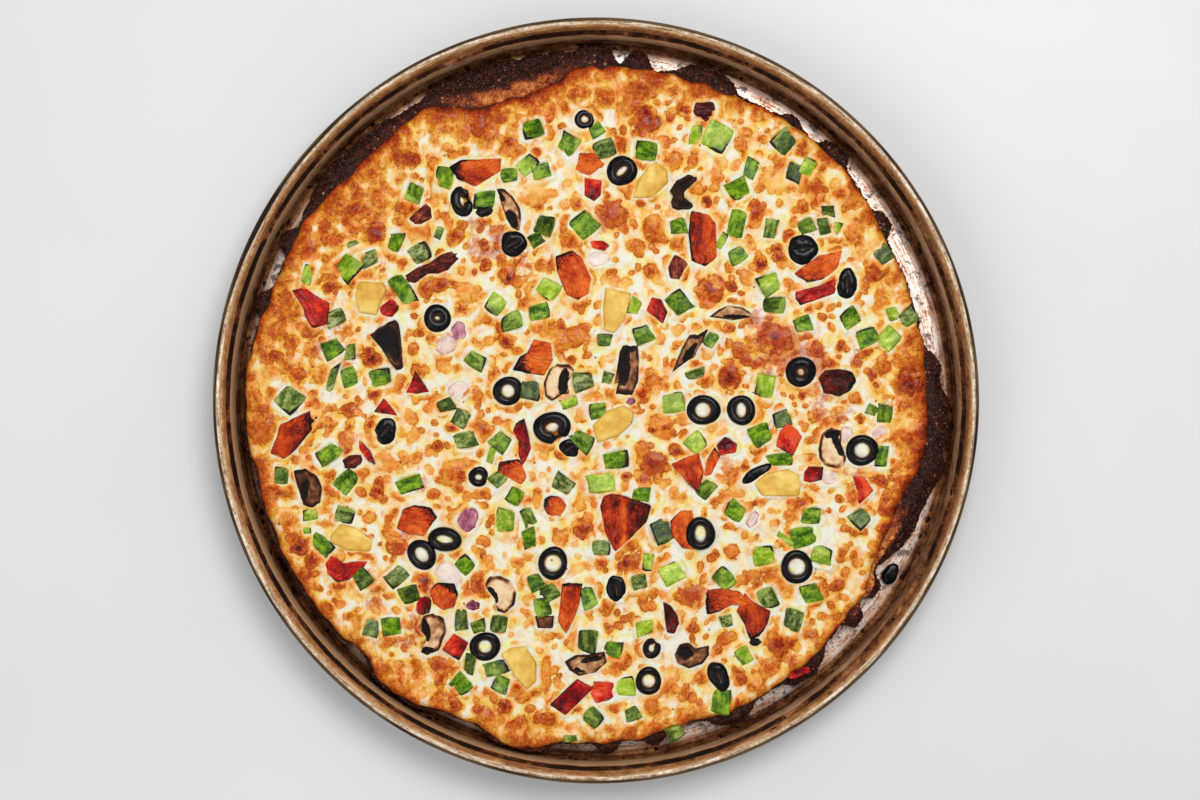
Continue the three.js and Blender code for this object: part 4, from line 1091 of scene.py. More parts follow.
def makeCheese():
    count = cheese["cells"]
    u, v = discGrid(count)
    share = np.hypot(u, v).ravel()
    angle = (np.degrees(np.arctan2(v, u)) % 360).ravel()
    turn = np.radians(angle)
    wander = cheese["edgeWander"] * (softNoise(178 * np.cos(turn), 178 * np.sin(turn), 9, 3) - 0.3)
    edge = cheeseRadius(angle) + wander
    radius = share * edge
    x, y = radius * np.cos(turn), radius * np.sin(turn)
    relief, layers = cheeseSurface(x, y)
    lift, pale = bedding(x, y)
    away = np.clip((edge - radius) / cheese["browWidth"], 0, 1)
    brow = cheese["edgeDrop"] * (1 - np.sqrt(1 - (1 - away) ** 2))
    # a browned lip stands a little proud just inside the edge
    lip = cheese["lipRise"] * bell(edge - radius - cheese["lipInset"], cheese["lipHalf"])
    lip = lip * (0.6 + 0.4 * softNoise(x, y, 10, 5))
    z = surfaceHeight(x, y) + relief * (1 - 0.5 * np.minimum(pale, 1)) + lift - brow + lip
    # the edge is scorched most where the skirt beside it is wide
    exposure = exposureAt(angle)
    scorchWidth = cheese["scorchWidth"] + cheese["scorchMore"] * exposure
    scorch = 1 - smooth(edge - radius, 0, scorchWidth * (1 + 0.7 * roughNoise(x, y, 7, 95, 2)))
    base = layers["base"] * np.clip(1 - 0.5 * pale, 0, 1)
    scorching = toasting["scorchLeast"] + toasting["scorchMore"] * exposure
    layers["base"] = base + (toasting["scorched"] - base) * scorch * scorching
    layers["strength"] = layers["strength"] * np.clip(1 - 0.7 * pale, 0, 1)
    topPoints = np.stack([x, y, z], 1)
    numbers = np.arange(count * count).reshape(count, count)
    quads = [numbers[:-1, :-1], numbers[:-1, 1:], numbers[1:, 1:], numbers[1:, :-1]]
    quads = np.stack(quads, -1).reshape(-1, 4)
    loop = gridEdge(count)
    around = len(loop)
    points = [topPoints]
    for inset, level in ((0.2, 0.45), (0.5, 0.75), (0.9, 1.0)):
        ring = topPoints[loop].copy()
        ring[:, :2] *= (1 - inset / edge[loop])[:, None]
        ring[:, 2] += (cheeseFoot - ring[:, 2]) * level
        points.append(ring)
    points.append(np.array([[0, 0, cheeseFoot]]))
    points = np.concatenate(points)
    first = len(topPoints)
    row, after = roundPairs(around)
    seam = np.stack([loop[row], first + row, first + after, loop[after]], 1)
    fan = poleFaces(len(points) - 1, first + 2 * around, around, outward=False)
    faces = [np.concatenate([quads, seam, ringFaces(3, around, first)]), fan]
    wall = {"base": 0.7, "inside": faded, "strength": 0, "crusty": 0, "sauce": 0, "heat": 0.8}
    for layer, values in layers.items():
        layers[layer] = np.append(values, np.full(len(points) - first, wall[layer]))
    makePiece("meltedCheese", points, faces, layers, cheeseFinish(), ["cheese"])


makeCheese()


# the crust: dough with a skirt of burnt cheese

crust = {
    "around": 1280,
    "rings": 50,
    "grain": 1.0,
    "wander": 1.9,
    "tuckedIn": 3,  # how far it starts inside the cheese's edge
    "hidden": 3.5,  # and how much of it stays level before it slopes down
}
# where bare dough shows between the cheese and the burnt skirt: degrees round, half width and how pale
bareStrips = [(106, 12, 0.72), (331, 10, 0.8), (257, 5, 0.35), (128, 6, 0.2)]


def crustFinish():
    finish = Finish("bakedDough", Specular_IOR_Level=0.35)
    place = finish.place()
    fine = finish.noise(place, 0.9, 3, 0.6)
    soft = finish.noise(place, 4, 3)
    grains, own, other = finish.bubbles(finish.shaken(place, 2, 1), 1.7, 0.35, 0.75)
    char = finish.layer("char") + (soft - 0.5) * 0.6 + (fine - 0.5) * 0.5
    colour = finish.ramp(char, [
        (0.08, 248, 200, 140), (0.22, 236, 156, 84), (0.36, 190, 92, 36), (0.5, 112, 42, 16),
        (0.66, 60, 20, 9), (0.9, 28, 9, 5),
    ])
    dots = grains.between(0.1, 0.6) * char.between(0.3, 0.6)
    colour = finish.blend(dots * own.between(0.35, 0.9) * 0.6, colour, tint(146, 66, 36))
    colour = finish.blend(dots * other.between(0.85, 0.95) * 0.7, colour, tint(214, 150, 110))
    relief = finish.bump(fine * 0.8 + grains.most(0) * 1.2, 1.0)
    return finish.wear(Base_Color=colour, Roughness=fine.between(0.35, 0.65, 0.25, 0.75), Normal=relief)


def makeCrust():
    around = crust["around"]
    angle = np.arange(around) * 360 / around
    turn = np.radians(angle)
    circleX, circleY = 180 * np.cos(turn), 180 * np.sin(turn)
    exposure = exposureAt(angle)
    inner = cheeseRadius(angle) - crust["tuckedIn"]
    wander = crust["wander"] * (roughNoise(circleX, circleY, 7, 7) - 0.2)
    outer = np.minimum(skirtRadius(angle) + wander, dough["reachLimit"] + 0.4)
    wide = outer - inner
    shown = swellAt(angle, bareStrips)
    ragged = roughNoise(circleX, circleY, 8, 15)
    lip = dough["top"] + (0.2 + exposure) * dough["lip"] * 0.9
    shelf = dough["skirtTop"] + 4 * exposure
    points, char, burnt = [], [], []

    def addRing(radius, z, shade, grainy):
        points.append(np.stack([radius * np.cos(turn), radius * np.sin(turn), np.full(around, z)], 1))
        char.append(np.full(around, shade))
        burnt.append(np.full(around, grainy))

    # from under the cheese out over the lip and down the burnt skirt
    for share in np.linspace(0, 1, crust["rings"]):
        radius = inner + share * wide
        x, y = radius * np.cos(turn), radius * np.sin(turn)
        past = radius - inner - crust["hidden"]
        slope = np.clip(past / np.maximum(wide - crust["hidden"], 0.5), 0, 1)
        z = lip + (shelf - lip) * smooth(slope, 0.3, 0.85)
        z = z - (shelf - dough["skirtFoot"]) * smooth(slope, 0.8, 1)
        grain = crust["grain"] * (0.3 + smooth(slope, 0.2, 0.5)) * roughNoise(x, y, 2.8, 11, 3)
        z = z + (grain * 1.6 + 0.5 * roughNoise(x, y, 9, 111, 2)) * (share > 0.1)
        bare = shown * (1 - smooth(slope + 0.1 * ragged, 0.18, 0.5)) * smooth(past, -3, 0)
        shade = 0.8 - 0.62 * bare + 0.1 * roughNoise(x, y, 12, 13)
        grainy = smooth(slope, 0.02, 0.25) * (1 - bare) * smooth(roughNoise(x, y, 6, 14, 2), -0.5, 0.2)
        addRing(radius, z, shade, grainy)
    # down the side to the foot
    addRing(outer - 0.2, 4.0, 0.9, 0.0)
    addRing(outer - 0.8, 3.0, 0.9, 0.0)
    toe = np.minimum(outer, dough["footRadius"]) - dough["toeInset"]
    addRing(toe, dough["bottom"], 0.8, 0.0)
    rings = len(points)
    points.append(np.array([[0, 0, dough["bottom"]], [0, 0, dough["top"] - 0.3]]))
    points = np.concatenate(points)
    layers = {
        "char": np.append(np.concatenate(char), [0.6, 0.6]),
        "burnt": np.append(np.concatenate(burnt), [0, 0]),
    }
    under, over = rings * around, rings * around + 1
    caps = capFaces(over, 0, under, under - around, around)
    faces = [ringFaces(rings, around), caps]
    return makePiece("burntCrust", points, faces, layers, crustFinish(), ["crust"])


burntCrust = makeCrust()


# burnt grains scattered over the skirt

grains = {"density": 560000, "least": 0.6, "most": 2.0, "seed": 7}


def grainFinish():
    finish = Finish("burntGrain", Specular_IOR_Level=0.4)
    place = finish.place()
    spots = finish.noise(place, 2.5, 3)
    shine = finish.noise(place, 1.1, 2)
    colour = finish.ramp(spots, [
        (0.3, 22, 8, 5), (0.5, 54, 18, 9), (0.64, 96, 38, 19), (0.76, 178, 104, 70),
    ])
    return finish.wear(Base_Color=colour, Roughness=shine.between(0.4, 0.6, 0.25, 0.7),
                       Normal=finish.bump(shine, 0.3, 0.6))


def grainInputs():
    return {
        "Density": grains["density"],
        "Least size": grains["least"] * mm,
        "Most size": grains["most"] * mm,
        "Seed": grains["seed"],
    }


def grainTree(material):
    # rocks of a few faces laid on the faces where the layer named burnt is high
    tree = bpy.data.node_groups.new("burntGrains", "GeometryNodeTree")
    face = tree.interface
    face.new_socket("Geometry", in_out="INPUT", socket_type="NodeSocketGeometry")
    for label, value in grainInputs().items():
        kind = "NodeSocketInt" if label == "Seed" else "NodeSocketFloat"
        face.new_socket(label, in_out="INPUT", socket_type=kind).default_value = value
    face.new_socket("Geometry", in_out="OUTPUT", socket_type="NodeSocketGeometry")

    # a node with its settings, then the values or wires of its sockets
    def add(kind, settings=None, sockets=None):
        node = tree.nodes.new(kind)
        for key, value in (settings or {}).items():
            setattr(node, key, value)
        for key, value in (sockets or {}).items():
            if isinstance(value, bpy.types.NodeSocket):
                tree.links.new(value, node.inputs[key])
            else:
                node.inputs[key].default_value = value
        return node.outputs

    start = add("NodeGroupInput")
    seed = start["Seed"]
    burnt = add("GeometryNodeInputNamedAttribute", {"data_type": "FLOAT"}, {"Name": "burnt"})
    times = {"operation": "MULTIPLY"}
    dense = add("ShaderNodeMath", times, {0: start["Density"], 1: burnt["Attribute"]})
    places = {"Mesh": start["Geometry"], "Density": dense[0], "Seed": seed}
    scatter = add("GeometryNodeDistributePointsOnFaces", {"distribute_method": "RANDOM"}, places)
    rock = add("GeometryNodeMeshIcoSphere", None, {"Radius": 0.5, "Subdivisions": 1})
    sizes = {2: start["Least size"], 3: start["Most size"], "Seed": seed}
    size = add("FunctionNodeRandomValue", {"data_type": "FLOAT"}, sizes)[1]
    turns = {"Max": (math.tau,) * 3, "Seed": seed}
    turn = add("FunctionNodeRandomValue", {"data_type": "FLOAT_VECTOR"}, turns)[0]
    lower = add("ShaderNodeMath", times, {0: size, 1: 0.7})[0]
    flat = add("ShaderNodeCombineXYZ", None, {0: size, 1: size, 2: lower})[0]
    lay = add("GeometryNodeInstanceOnPoints", None, {
        "Points": scatter["Points"], "Instance": rock["Mesh"], "Rotation": turn, "Scale": flat,
    })
    real = add("GeometryNodeRealizeInstances", None, {"Geometry": lay["Instances"]})
    paint = {"Geometry": real["Geometry"], "Material": material}
    painted = add("GeometryNodeSetMaterial", None, paint)
    add("NodeGroupOutput", None, {"Geometry": painted["Geometry"]})
    return tree


def scatterGrains(ground):
    tree = grainTree(grainFinish())
    modifier = ground.modifiers.new("burntGrains", "NODES")
    modifier.node_group = tree
    wanted = grainInputs()
    for item in tree.interface.items_tree:
        if item.in_out == "INPUT" and item.name in wanted:
            modifier[item.identifier] = wanted[item.name]
    mesh = bpy.data.meshes.new_from_object(ground.evaluated_get(bpy.context.evaluated_depsgraph_get()))
    ground.modifiers.remove(modifier)
    mesh.name = "burntGrains"
    scattered = placed("burntGrains", mesh)
    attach(scattered, "root")
    print("burntGrains", len(mesh.vertices), "points", len(mesh.polygons), "triangles")


scatterGrains(burntCrust)


# the pan

pan = {
    "around": 540,
    "sheet": 1,
    "baseRadius": 189,
    "wallRadius": 190.2,
    "cornerRadius": 3,
    "shoulderHeight": 29.8,
    "shoulderStep": 2,
    "beadRadius": 2.6,
    "rimRadius": 198,
    "height": 39.4,
    "wornFloor": (185, 186.6),  # the radii between which the wear fades
    "blackRim": (195.7, 196.3),  # and those between which the rim turns black
}
# marks by their place round the pan: degrees and half width; the first marks the side whose wall is painted
# lighter, as the light falls on it
panMarks = {"paintedLitSide": (210, 62), "sooty": (333, 14), "blackest": (148, 16)}


def arcOf(x, z, radius, start, end, steps):
    turns = np.radians(np.linspace(start, end, steps + 1))
    return [(x + radius * math.cos(t), z + radius * math.sin(t)) for t in turns]


def panProfile():
    sheet, wall, corner = pan["sheet"], pan["wallRadius"], pan["cornerRadius"]
    collar = wall + pan["shoulderStep"]
    shoulder = pan["shoulderHeight"]
    innerCorner = pan["baseRadius"] - corner
    beadX, beadZ = pan["rimRadius"] - pan["beadRadius"], pan["height"] - pan["beadRadius"]
    under = [(r, 0) for r in np.linspace(20, innerCorner - 4, 10)]
    inner = [(r, sheet) for r in np.linspace(innerCorner - 4, 20, 14)]
    walls = np.linspace(0.12, 0.9, 7)
    outerWall = [(wall + sheet, 5 + (shoulder - sheet - 5) * s) for s in walls]
    innerWall = [(wall, shoulder + (5 - shoulder) * s) for s in walls]
    return [
        *under,
        *arcOf(innerCorner, corner + sheet, corner + sheet, -90, -4, 7),
        *outerWall,
        (wall + sheet, shoulder - sheet),
        (wall + sheet + 0.6, shoulder - 0.4),
        (collar + sheet, shoulder + sheet / 2),
        *arcOf(beadX, beadZ, pan["beadRadius"], -90, 180, 22),
        (collar, shoulder + 1.6 * sheet + 2),
        (collar, shoulder + 1.6 * sheet),
        (collar - 0.5, shoulder + 1.0),
        (wall + 0.3, shoulder + 0.3),
        *innerWall,
        *arcOf(innerCorner, corner + sheet, corner, -4, -90, 7),
        *inner,
    ]


def panFinish():
    finish = Finish("panSteel", Specular_IOR_Level=0.15)
    run = finish.layer("run", "Vector")  # round the pan, slowly, and along its section, quickly
    place = finish.place()
    streaks = finish.noise(run, 1.2, 4, 0.65)
    wisps = finish.noise(run, 3.2, 3, 0.6)
    patches = finish.noise(place, 6, 4, 0.6)
    specks = finish.noise(place, 1.6, 3, 0.6)
    sootAndPaintedShade, bare, gold = finish.parts(finish.layer("zone", "Vector"))
    drops, ownDrop, _ = finish.bubbles(finish.shaken(place, 3, 2), 4.2, 0.1, 0.5)
    grease = drops.between(0, 0.3) * ownDrop.between(0.55, 0.75) * sootAndPaintedShade.between(0.25, 0.5)
    # darkness of the patina, real soot and grease together with the painted shade and painted light of the
    # wall
    dirtAndPaintedShade = sootAndPaintedShade + (wisps - 0.5) * 0.7 + (patches - 0.5) * 0.8 + (specks - 0.5) * 0.6 + grease * 0.6
    colour = finish.ramp(dirtAndPaintedShade, [
        (0.1, 220, 178, 134), (0.28, 178, 122, 78), (0.45, 132, 82, 48), (0.62, 82, 42, 22),
        (0.82, 24, 10, 6),
    ])
    colour = finish.blend(gold * wisps.between(0.35, 0.6), colour, tint(200, 152, 96))
    worn = streaks + (patches - 0.5) * 0.35 + (specks - 0.5) * 0.5
    # painted reflection: the bare floor's steel is painted near white where it would mirror the light
    # above, with real scratches and smudges
    steel = finish.ramp(worn, [
        (0.3, 96, 42, 24), (0.38, 176, 120, 92), (0.47, 234, 196, 172), (0.56, 255, 250, 244),
    ])
    # painted highlight: the bead's top is painted cream, worn steel with the light's highlight along it
    paintedBeadHighlight = finish.ramp(worn, [(0.32, 120, 90, 60), (0.46, 184, 154, 118), (0.66, 246, 232, 210)])
    smudges = (patches + streaks * 0.4 + (specks - 0.5) * 0.4).between(0.74, 0.86)
    steel = finish.blend(smudges * 0.8, steel, tint(70, 28, 16))
    colour = finish.blend(bare, colour, steel)
    colour = finish.blend(finish.layer("bead"), colour, paintedBeadHighlight)
    colour = finish.blend(finish.layer("outer") * 0.75, colour, tint(70, 58, 50))
    rough = 0.36 + dirtAndPaintedShade.between(0.2, 0.9) * 0.25
    metal = bare * (1 - smudges) * 0.4
    relief = finish.bump(streaks * 0.5 + dirtAndPaintedShade.between(0.6, 0.9) * 0.6, 0.35, 0.6)
    return finish.wear(Base_Color=colour, Roughness=rough, Metallic=metal, Normal=relief)


def makePan():
    profile = np.array(panProfile())
    around = pan["around"]
    turn = turnsRound(around)
    radius, level = profile[:, 0], profile[:, 1]
    step = np.hypot(np.diff(radius, prepend=radius[0]), np.diff(level, prepend=level[0]))
    length = np.cumsum(step)
    rings = len(profile)
    r, t = np.repeat(radius, around), np.tile(turn, rings)
    z = np.repeat(level, around)
    along = np.repeat(length, around)
    points = np.stack([r * np.cos(t), r * np.sin(t), z], 1)
    poles = np.array([[0, 0, 0], [0, 0, pan["sheet"]]])
    run = np.stack([np.cos(t) * 16, np.sin(t) * 16, along * 1.4], 1) * mm
    half = np.repeat(np.arange(rings) > np.argmax(radius), around)  # the pan's inner side
    bead = level.max() - pan["beadRadius"]
    shoulder = pan["shoulderHeight"]
    noise = roughNoise(190 * np.cos(t), 190 * np.sin(t) + z * 3, 24, 21, 3)
    onFloor = half * (z < 2) * (1 - smooth(r, *pan["wornFloor"]))
    onShoulder = half * bell(z - shoulder - 0.8, 1.4)
    # painted shade: the foot of the inner wall is darkened where the wall and the food shade it
    shadedWallFoot = half * (1 - smooth(z, 4, 16)) * smooth(r, 184.6, 187)
    wallOnly = half * (z > 2) * (z < shoulder - 2)
    degrees = np.degrees(t) % 360
    marks = {mark: bell(degrees - at, wide) for mark, (at, wide) in panMarks.items()}
    # painted light: the wall and collar on the side that the light falls on are painted lighter, less where
    # the sooty mark is
    paintedLitSide = marks["paintedLitSide"] - 0.9 * marks["sooty"]
    # painted highlight: the bead's top is painted cream, worn steel with the light's highlight along it
    beadTopHighlight = smooth(z, bead + 2.1, bead + 2.5)
    # the bead's outer flank is painted near-black: burnt steel, and painted shade where it turns away from
    # the light
    rimWander = roughNoise(190 * np.cos(t), 190 * np.sin(t), 30, 25, 2)
    outward = r - 0.5 * rimWander + 0.9 * marks["blackest"]
    outside = smooth(outward, *pan["blackRim"]) * (z > bead - 3)
    onCollar = half * smooth(z, shoulder + 2, shoulder + 4) * (1 - beadTopHighlight)
    # how dark the patina is: baked-on soot and grease, with the painted shade and painted light above laid
    # in
    sootAndPaintedShade = 0.3 + (0.44 + 0.16 * paintedLitSide + 0.4 * noise) * onShoulder
    sootAndPaintedShade = sootAndPaintedShade + 0.24 * shadedWallFoot + 0.7 * outside + 0.16 * noise
    sootAndPaintedShade = sootAndPaintedShade + (0.08 - 0.16 * paintedLitSide) * onCollar
    # painted light: the wall is painted lighter up its height, to offset the shade it lies in, and more on
    # the lit side
    sootAndPaintedShade = sootAndPaintedShade - wallOnly * (0.15 + 0.32 * paintedLitSide) * smooth(z, 6, 18)
    sootAndPaintedShade = sootAndPaintedShade + 0.15 * (~half) * (z < bead)
    zone = np.stack([sootAndPaintedShade, onFloor * 0.95, np.clip(onCollar * 0.3, 0, 1)], 1)
    ends = np.array([[0.5, 0, 0], [0.3, 1, 0]])
    faces = [
        ringFaces(rings, around)[:, ::-1],
        np.concatenate([poleFaces(rings * around, 0, around, outward=False),
                        poleFaces(rings * around + 1, (rings - 1) * around, around)]),
    ]
    layers = {
        "run": np.concatenate([run, poles * mm]),
        "zone": np.concatenate([zone, ends]),
        "bead": np.append(beadTopHighlight * (1 - outside), [0, 0]),
        "outer": np.append((~half) * (z < bead), [1, 0]),
    }
    points = np.concatenate([points, poles])
    makePiece("steelPan", points, faces, layers, panFinish(), ["pan"])


makePan()


# one topping's body

slab = {
    "around": 72,
    "rings": [0.16, 0.32, 0.47, 0.6, 0.72, 0.81, 0.88, 0.93, 0.965, 0.985, 1.0],
    "sideDrop": 0.9,
    "rootShare": 0.9,  # the root's width, as a share of the outline's
}


def outlineAt(piece, square, share):
    # the piece's outline about its own middle, at one share of its width, as the solids have it
    around = slab["around"]
    phase = phaseOf(piece)
    angle = turnsRound(around)
    cos, sin = np.cos(angle), np.sin(angle)
    reach = (np.abs(cos) ** square + np.abs(sin) ** square) ** (-1 / square)
    if "points" in piece:
        uneven = np.ones(around)
        reach = polygonReach(angle, *cornersOf(piece))
    else:
        uneven = 1 + 0.05 * np.sin(3 * angle + phase) + 0.03 * np.sin(5 * angle + 2 * phase)
        if "corners" in piece:
            reach = 0.25 * reach + 0.75 * polygonReach(angle, *cornersOf(piece))
    if "ragged" in piece:
        uneven = uneven + piece["ragged"] * roughNoise(1.6 * cos + phase, 1.6 * sin, 0.8, 57, 3)
    along, across = share * reach * uneven * cos, share * reach * uneven * sin
    return along * piece["size"][0] / 2, across * piece["size"][1] / 2


def layBody(batch, piece, rise, look, shape, looks):
    # a closed slab: shape gives the extra height over its top, looks gives its colour layers
    around, shares = slab["around"], slab["rings"]
    square, flatness = kinds[look["kind"]]["square"], look["flatness"]
    alongs, acrosses, edges = [[np.zeros(1)] for _ in range(3)]
    for share in shares:
        along, across = outlineAt(piece, square, share)
        alongs.append(along)
        acrosses.append(across)
        edges.append(np.full(around, share))
    along, across, edge = np.concatenate(alongs), np.concatenate(acrosses), np.concatenate(edges)
    dome = (1 - edge**flatness) ** (1 / flatness)
    x, y = turned(piece, along, across)
    middleHeight = surfaceHeight(*piece["at"])
    level = piece.get("ground", middleHeight)
    ground = level + 0.5 * (surfaceHeight(x, y) - middleHeight) * ("ground" not in piece)
    z = ground + (rise + piece.get("lift", 0)) * dome
    z = z + shape(along, across, edge, x, y) * np.minimum(1, dome * 1.5)
    top = np.stack([x, y, z], 1)
    outline = top[-around:]
    side = outline - [0, 0, slab["sideDrop"]]
    middle = np.array(piece["at"])
    foot = level - piece.get("root", rootDepth)
    root = np.insert(middle + (outline[:, :2] - middle) * slab["rootShare"], 2, foot, 1)
    points = np.concatenate([top, side, root, [[*middle, foot]]])
    # under the outline every layer stays as it is at the outline's end
    unseen = len(points) - len(top)
    layers = looks(along, across, edge, x, y)
    for layer, values in layers.items():
        layers[layer] = np.append(values, np.repeat(values[-1:], unseen, 0))
    grain = np.stack([along, across, np.full_like(along, piece["at"][0])], 1)
    below = np.insert(np.concatenate([outline[:, :2], outline[:, :2], [middle]]), 2, 0, 1)
    layers["grain"] = np.concatenate([grain, below]) * mm
    batch.take(points, layers, *bodyFaces(len(shares) + 2, around))


def makeGroup(name, group, lay, look, material):
    # one mesh of a whole group; look says how all its pieces are alike
    batch = Batch()
    for label, piece in group.items():
        piece.update(look["outline"])
        lay(batch, piece, look.get("rise", riseOf(look["kind"], label)), look)
    nodes = [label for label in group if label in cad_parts]
    batch.make(name, material, nodes)


def burning(piece):
    # charring that starts at one side and along the outline
    side = math.radians(piece.get("burnAt", 0))
    amount = piece.get("burnt", 0.3)
    half = max(piece["size"]) / 2

    def burnAt(along, across, edge, x, y):
        dx, dy = (x - piece["at"][0]) / half, (y - piece["at"][1]) / half
        toSide = dx * math.cos(side) + dy * math.sin(side)
        rim = smooth(edge, 0.8, 1.0) * smooth(roughNoise(x, y, 9, 18, 2), -0.5, 0.3)
        near = smooth(toSide, -0.2, 0.7)
        burnt = amount * (smooth(toSide, 0.1, 0.9) * 1.2 + near * rim)
        return np.clip(burnt + 0.34 * rim + 0.3 * roughNoise(x, y, 4, 17), 0, 1), toSide

    return burnAt


# tomatoes and red peppers

# pale is the colour painted along the raised wrinkles as their sheen
def roastedFinish(name, stops, pale, roughness, coat, wrinkle):
    finish = Finish(name, Specular_IOR_Level=0.12, Coat_Weight=coat, Coat_Roughness=0.1)
    grain = finish.layer("grain", "Vector")
    place = finish.place()
    lines = finish.noise(finish.stretched(grain, (0.45, 1.3, 1)), 2.6, 4, 0.6, 0.6)
    veins = finish.noise(finish.stretched(grain, (0.35, 1.1, 1)), 5, 2, 0.5, 1.5)
    spots = finish.noise(place, 1.6, 3)
    tone = finish.layer("tone") + (lines - 0.5) * 1.2 + (spots - 0.5) * 0.6
    colour = finish.ramp(tone, stops)
    # painted sheen: a pale colour along the raised wrinkle lines stands in for the lamps' highlights
    colour = finish.blend(lines.between(0.56, 0.7) * (1 - tone.between(0.5, 0.9)) * 0.5, colour, pale)
    cracks = 1 - (veins - 0.5).away().between(0.0, 0.035)
    burn = finish.layer("burn") + (spots - 0.5) * 0.6 + (lines - 0.5) * 0.4 + cracks * 0.22
    colour = finish.blend(burn.between(0.3, 0.55), colour, tint(84, 20, 12))
    colour = finish.blend(burn.between(0.55, 0.8), colour, tint(20, 11, 9))
    relief = finish.bump(lines + spots * 0.4 - cracks * 0.3, wrinkle)
    rough = roughness + burn.between(0.4, 0.9) * 0.2
    return finish.wear(Base_Color=colour, Roughness=rough, Normal=relief)


def layRoasted(batch, piece, rise, look):
    burnAt = burning(piece)
    curl = look["curl"]
    roll = look["roll"] * math.sin(piece["at"][0] + piece["at"][1])

    def shape(along, across, edge, x, y):
        folds = roughNoise(along * 0.55 + piece["at"][0], across * 1.2 + piece["at"][1], 5, 19, 3)
        rolled = roll * ((2 * across / piece["size"][1]) ** 2 - 0.4)
        return look["wrinkle"] * folds + curl * smooth(edge, 0.5, 0.9) - curl * 0.5 + rolled

    def looks(along, across, edge, x, y):
        burn, toSide = burnAt(along, across, edge, x, y)
        tone = piece["tone"] + 0.5 * roughNoise(x, y, 8, 23, 3) + 0.22 * np.clip(toSide, -1, 1)
        if "stripe" in piece:
            at, half = piece["stripe"]
            tone = tone - 0.5 * bell(x - piece["at"][0] - at, half) + 0.15
        return {"tone": tone, "burn": burn}

    layBody(batch, piece, rise - curl * 0.5, look, shape, looks)


tomatoLook = {
    "kind": "tomato",
    "outline": {"ragged": 0.06, "corners": 5},
    "flatness": 6,
    "wrinkle": 0.9,
    "curl": 0.6,
    "roll": 0.4,
}
tomatoStops = [
    (0.0, 236, 112, 36), (0.3, 212, 74, 20), (0.55, 172, 44, 14), (0.8, 112, 24, 10), (1.0, 56, 14, 8),
]
tomatoFinish = roastedFinish("roastTomato", tomatoStops, tint(240, 132, 56), 0.36, 0.03, 1.2)
makeGroup("roastTomatoes", tomatoes, layRoasted, tomatoLook, tomatoFinish)

pepperLook = {
    "kind": "pepper",
    "outline": {"ragged": 0.04, "corners": 5},
    "flatness": 7,
    "wrinkle": 0.5,
    "curl": 0.5,
    "roll": 0.8,
}
pepperStops = [
    (0.0, 232, 80, 36), (0.2, 206, 34, 16), (0.42, 166, 12, 10), (0.7, 104, 6, 9), (1.0, 58, 6, 9),
]
pepperFinish = roastedFinish("redPepper", pepperStops, tint(232, 96, 76), 0.22, 0.06, 0.7)
makeGroup("redPeppers", peppers, layRoasted, pepperLook, pepperFinish)


# charred shreds and onions

plainOutline = {"ragged": 0.12, "corners": 6}
shredLook = {"kind": "small", "outline": plainOutline, "flatness": 4, "rise": 2.4, "wrinkle": 0.9}
onionLook = {"kind": "small", "outline": plainOutline, "flatness": 4, "rise": 1.1, "wrinkle": 0.6}


def layPlain(batch, piece, rise, look):
    def shape(along, across, edge, x, y):
        return look["wrinkle"] * roughNoise(x, y, 4, 27, 3)

    def looks(along, across, edge, x, y):
        return {"tone": piece["tone"] + 0.2 * softNoise(x, y, 5, 29), "edge": edge}

    layBody(batch, piece, rise, look, shape, looks)


def shredFinish():
    finish = Finish("charredShred", Roughness=0.3, Specular_IOR_Level=0.14)
    grain = finish.layer("grain", "Vector")
    spots = finish.noise(finish.stretched(grain, (0.6, 1.1, 1)), 2.0, 4)
    tone = finish.layer("tone") + (spots - 0.5) * 1.5
    colour = finish.ramp(tone, [
        (0.1, 14, 7, 5), (0.42, 54, 15, 9), (0.66, 112, 34, 20), (0.9, 170, 88, 60),
    ])
    return finish.wear(Base_Color=colour, Normal=finish.bump(spots, 1.2))


def onionFinish():
    finish = Finish("onionPiece", Roughness=0.3, Specular_IOR_Level=0.15, Subsurface_Weight=0.2,
                    Subsurface_Scale=0.003)
    place = finish.place()
    grain = finish.layer("grain", "Vector")
    lines = finish.noise(finish.stretched(grain, (0.3, 1.6, 1)), 2.4, 3)
    tone = finish.layer("tone") + (lines - 0.5) * 0.5 + finish.layer("edge").between(0.7, 1.0) * 0.3
    colour = finish.ramp(tone, [
        (0.0, 240, 228, 214), (0.32, 232, 206, 196), (0.56, 204, 144, 156), (0.8, 150, 70, 102),
        (1.0, 92, 30, 58),
    ])
    toast = finish.noise(place, 4, 3).between(0.58, 0.7)
    colour = finish.blend(toast * 0.5, colour, tint(206, 130, 70))
    return finish.wear(Base_Color=colour, Normal=finish.bump(lines, 0.25, 0.7))


makeGroup("charredShreds", shreds, layPlain, shredLook, shredFinish())
makeGroup("onionPieces", onions, layPlain, onionLook, onionFinish())


# mushrooms

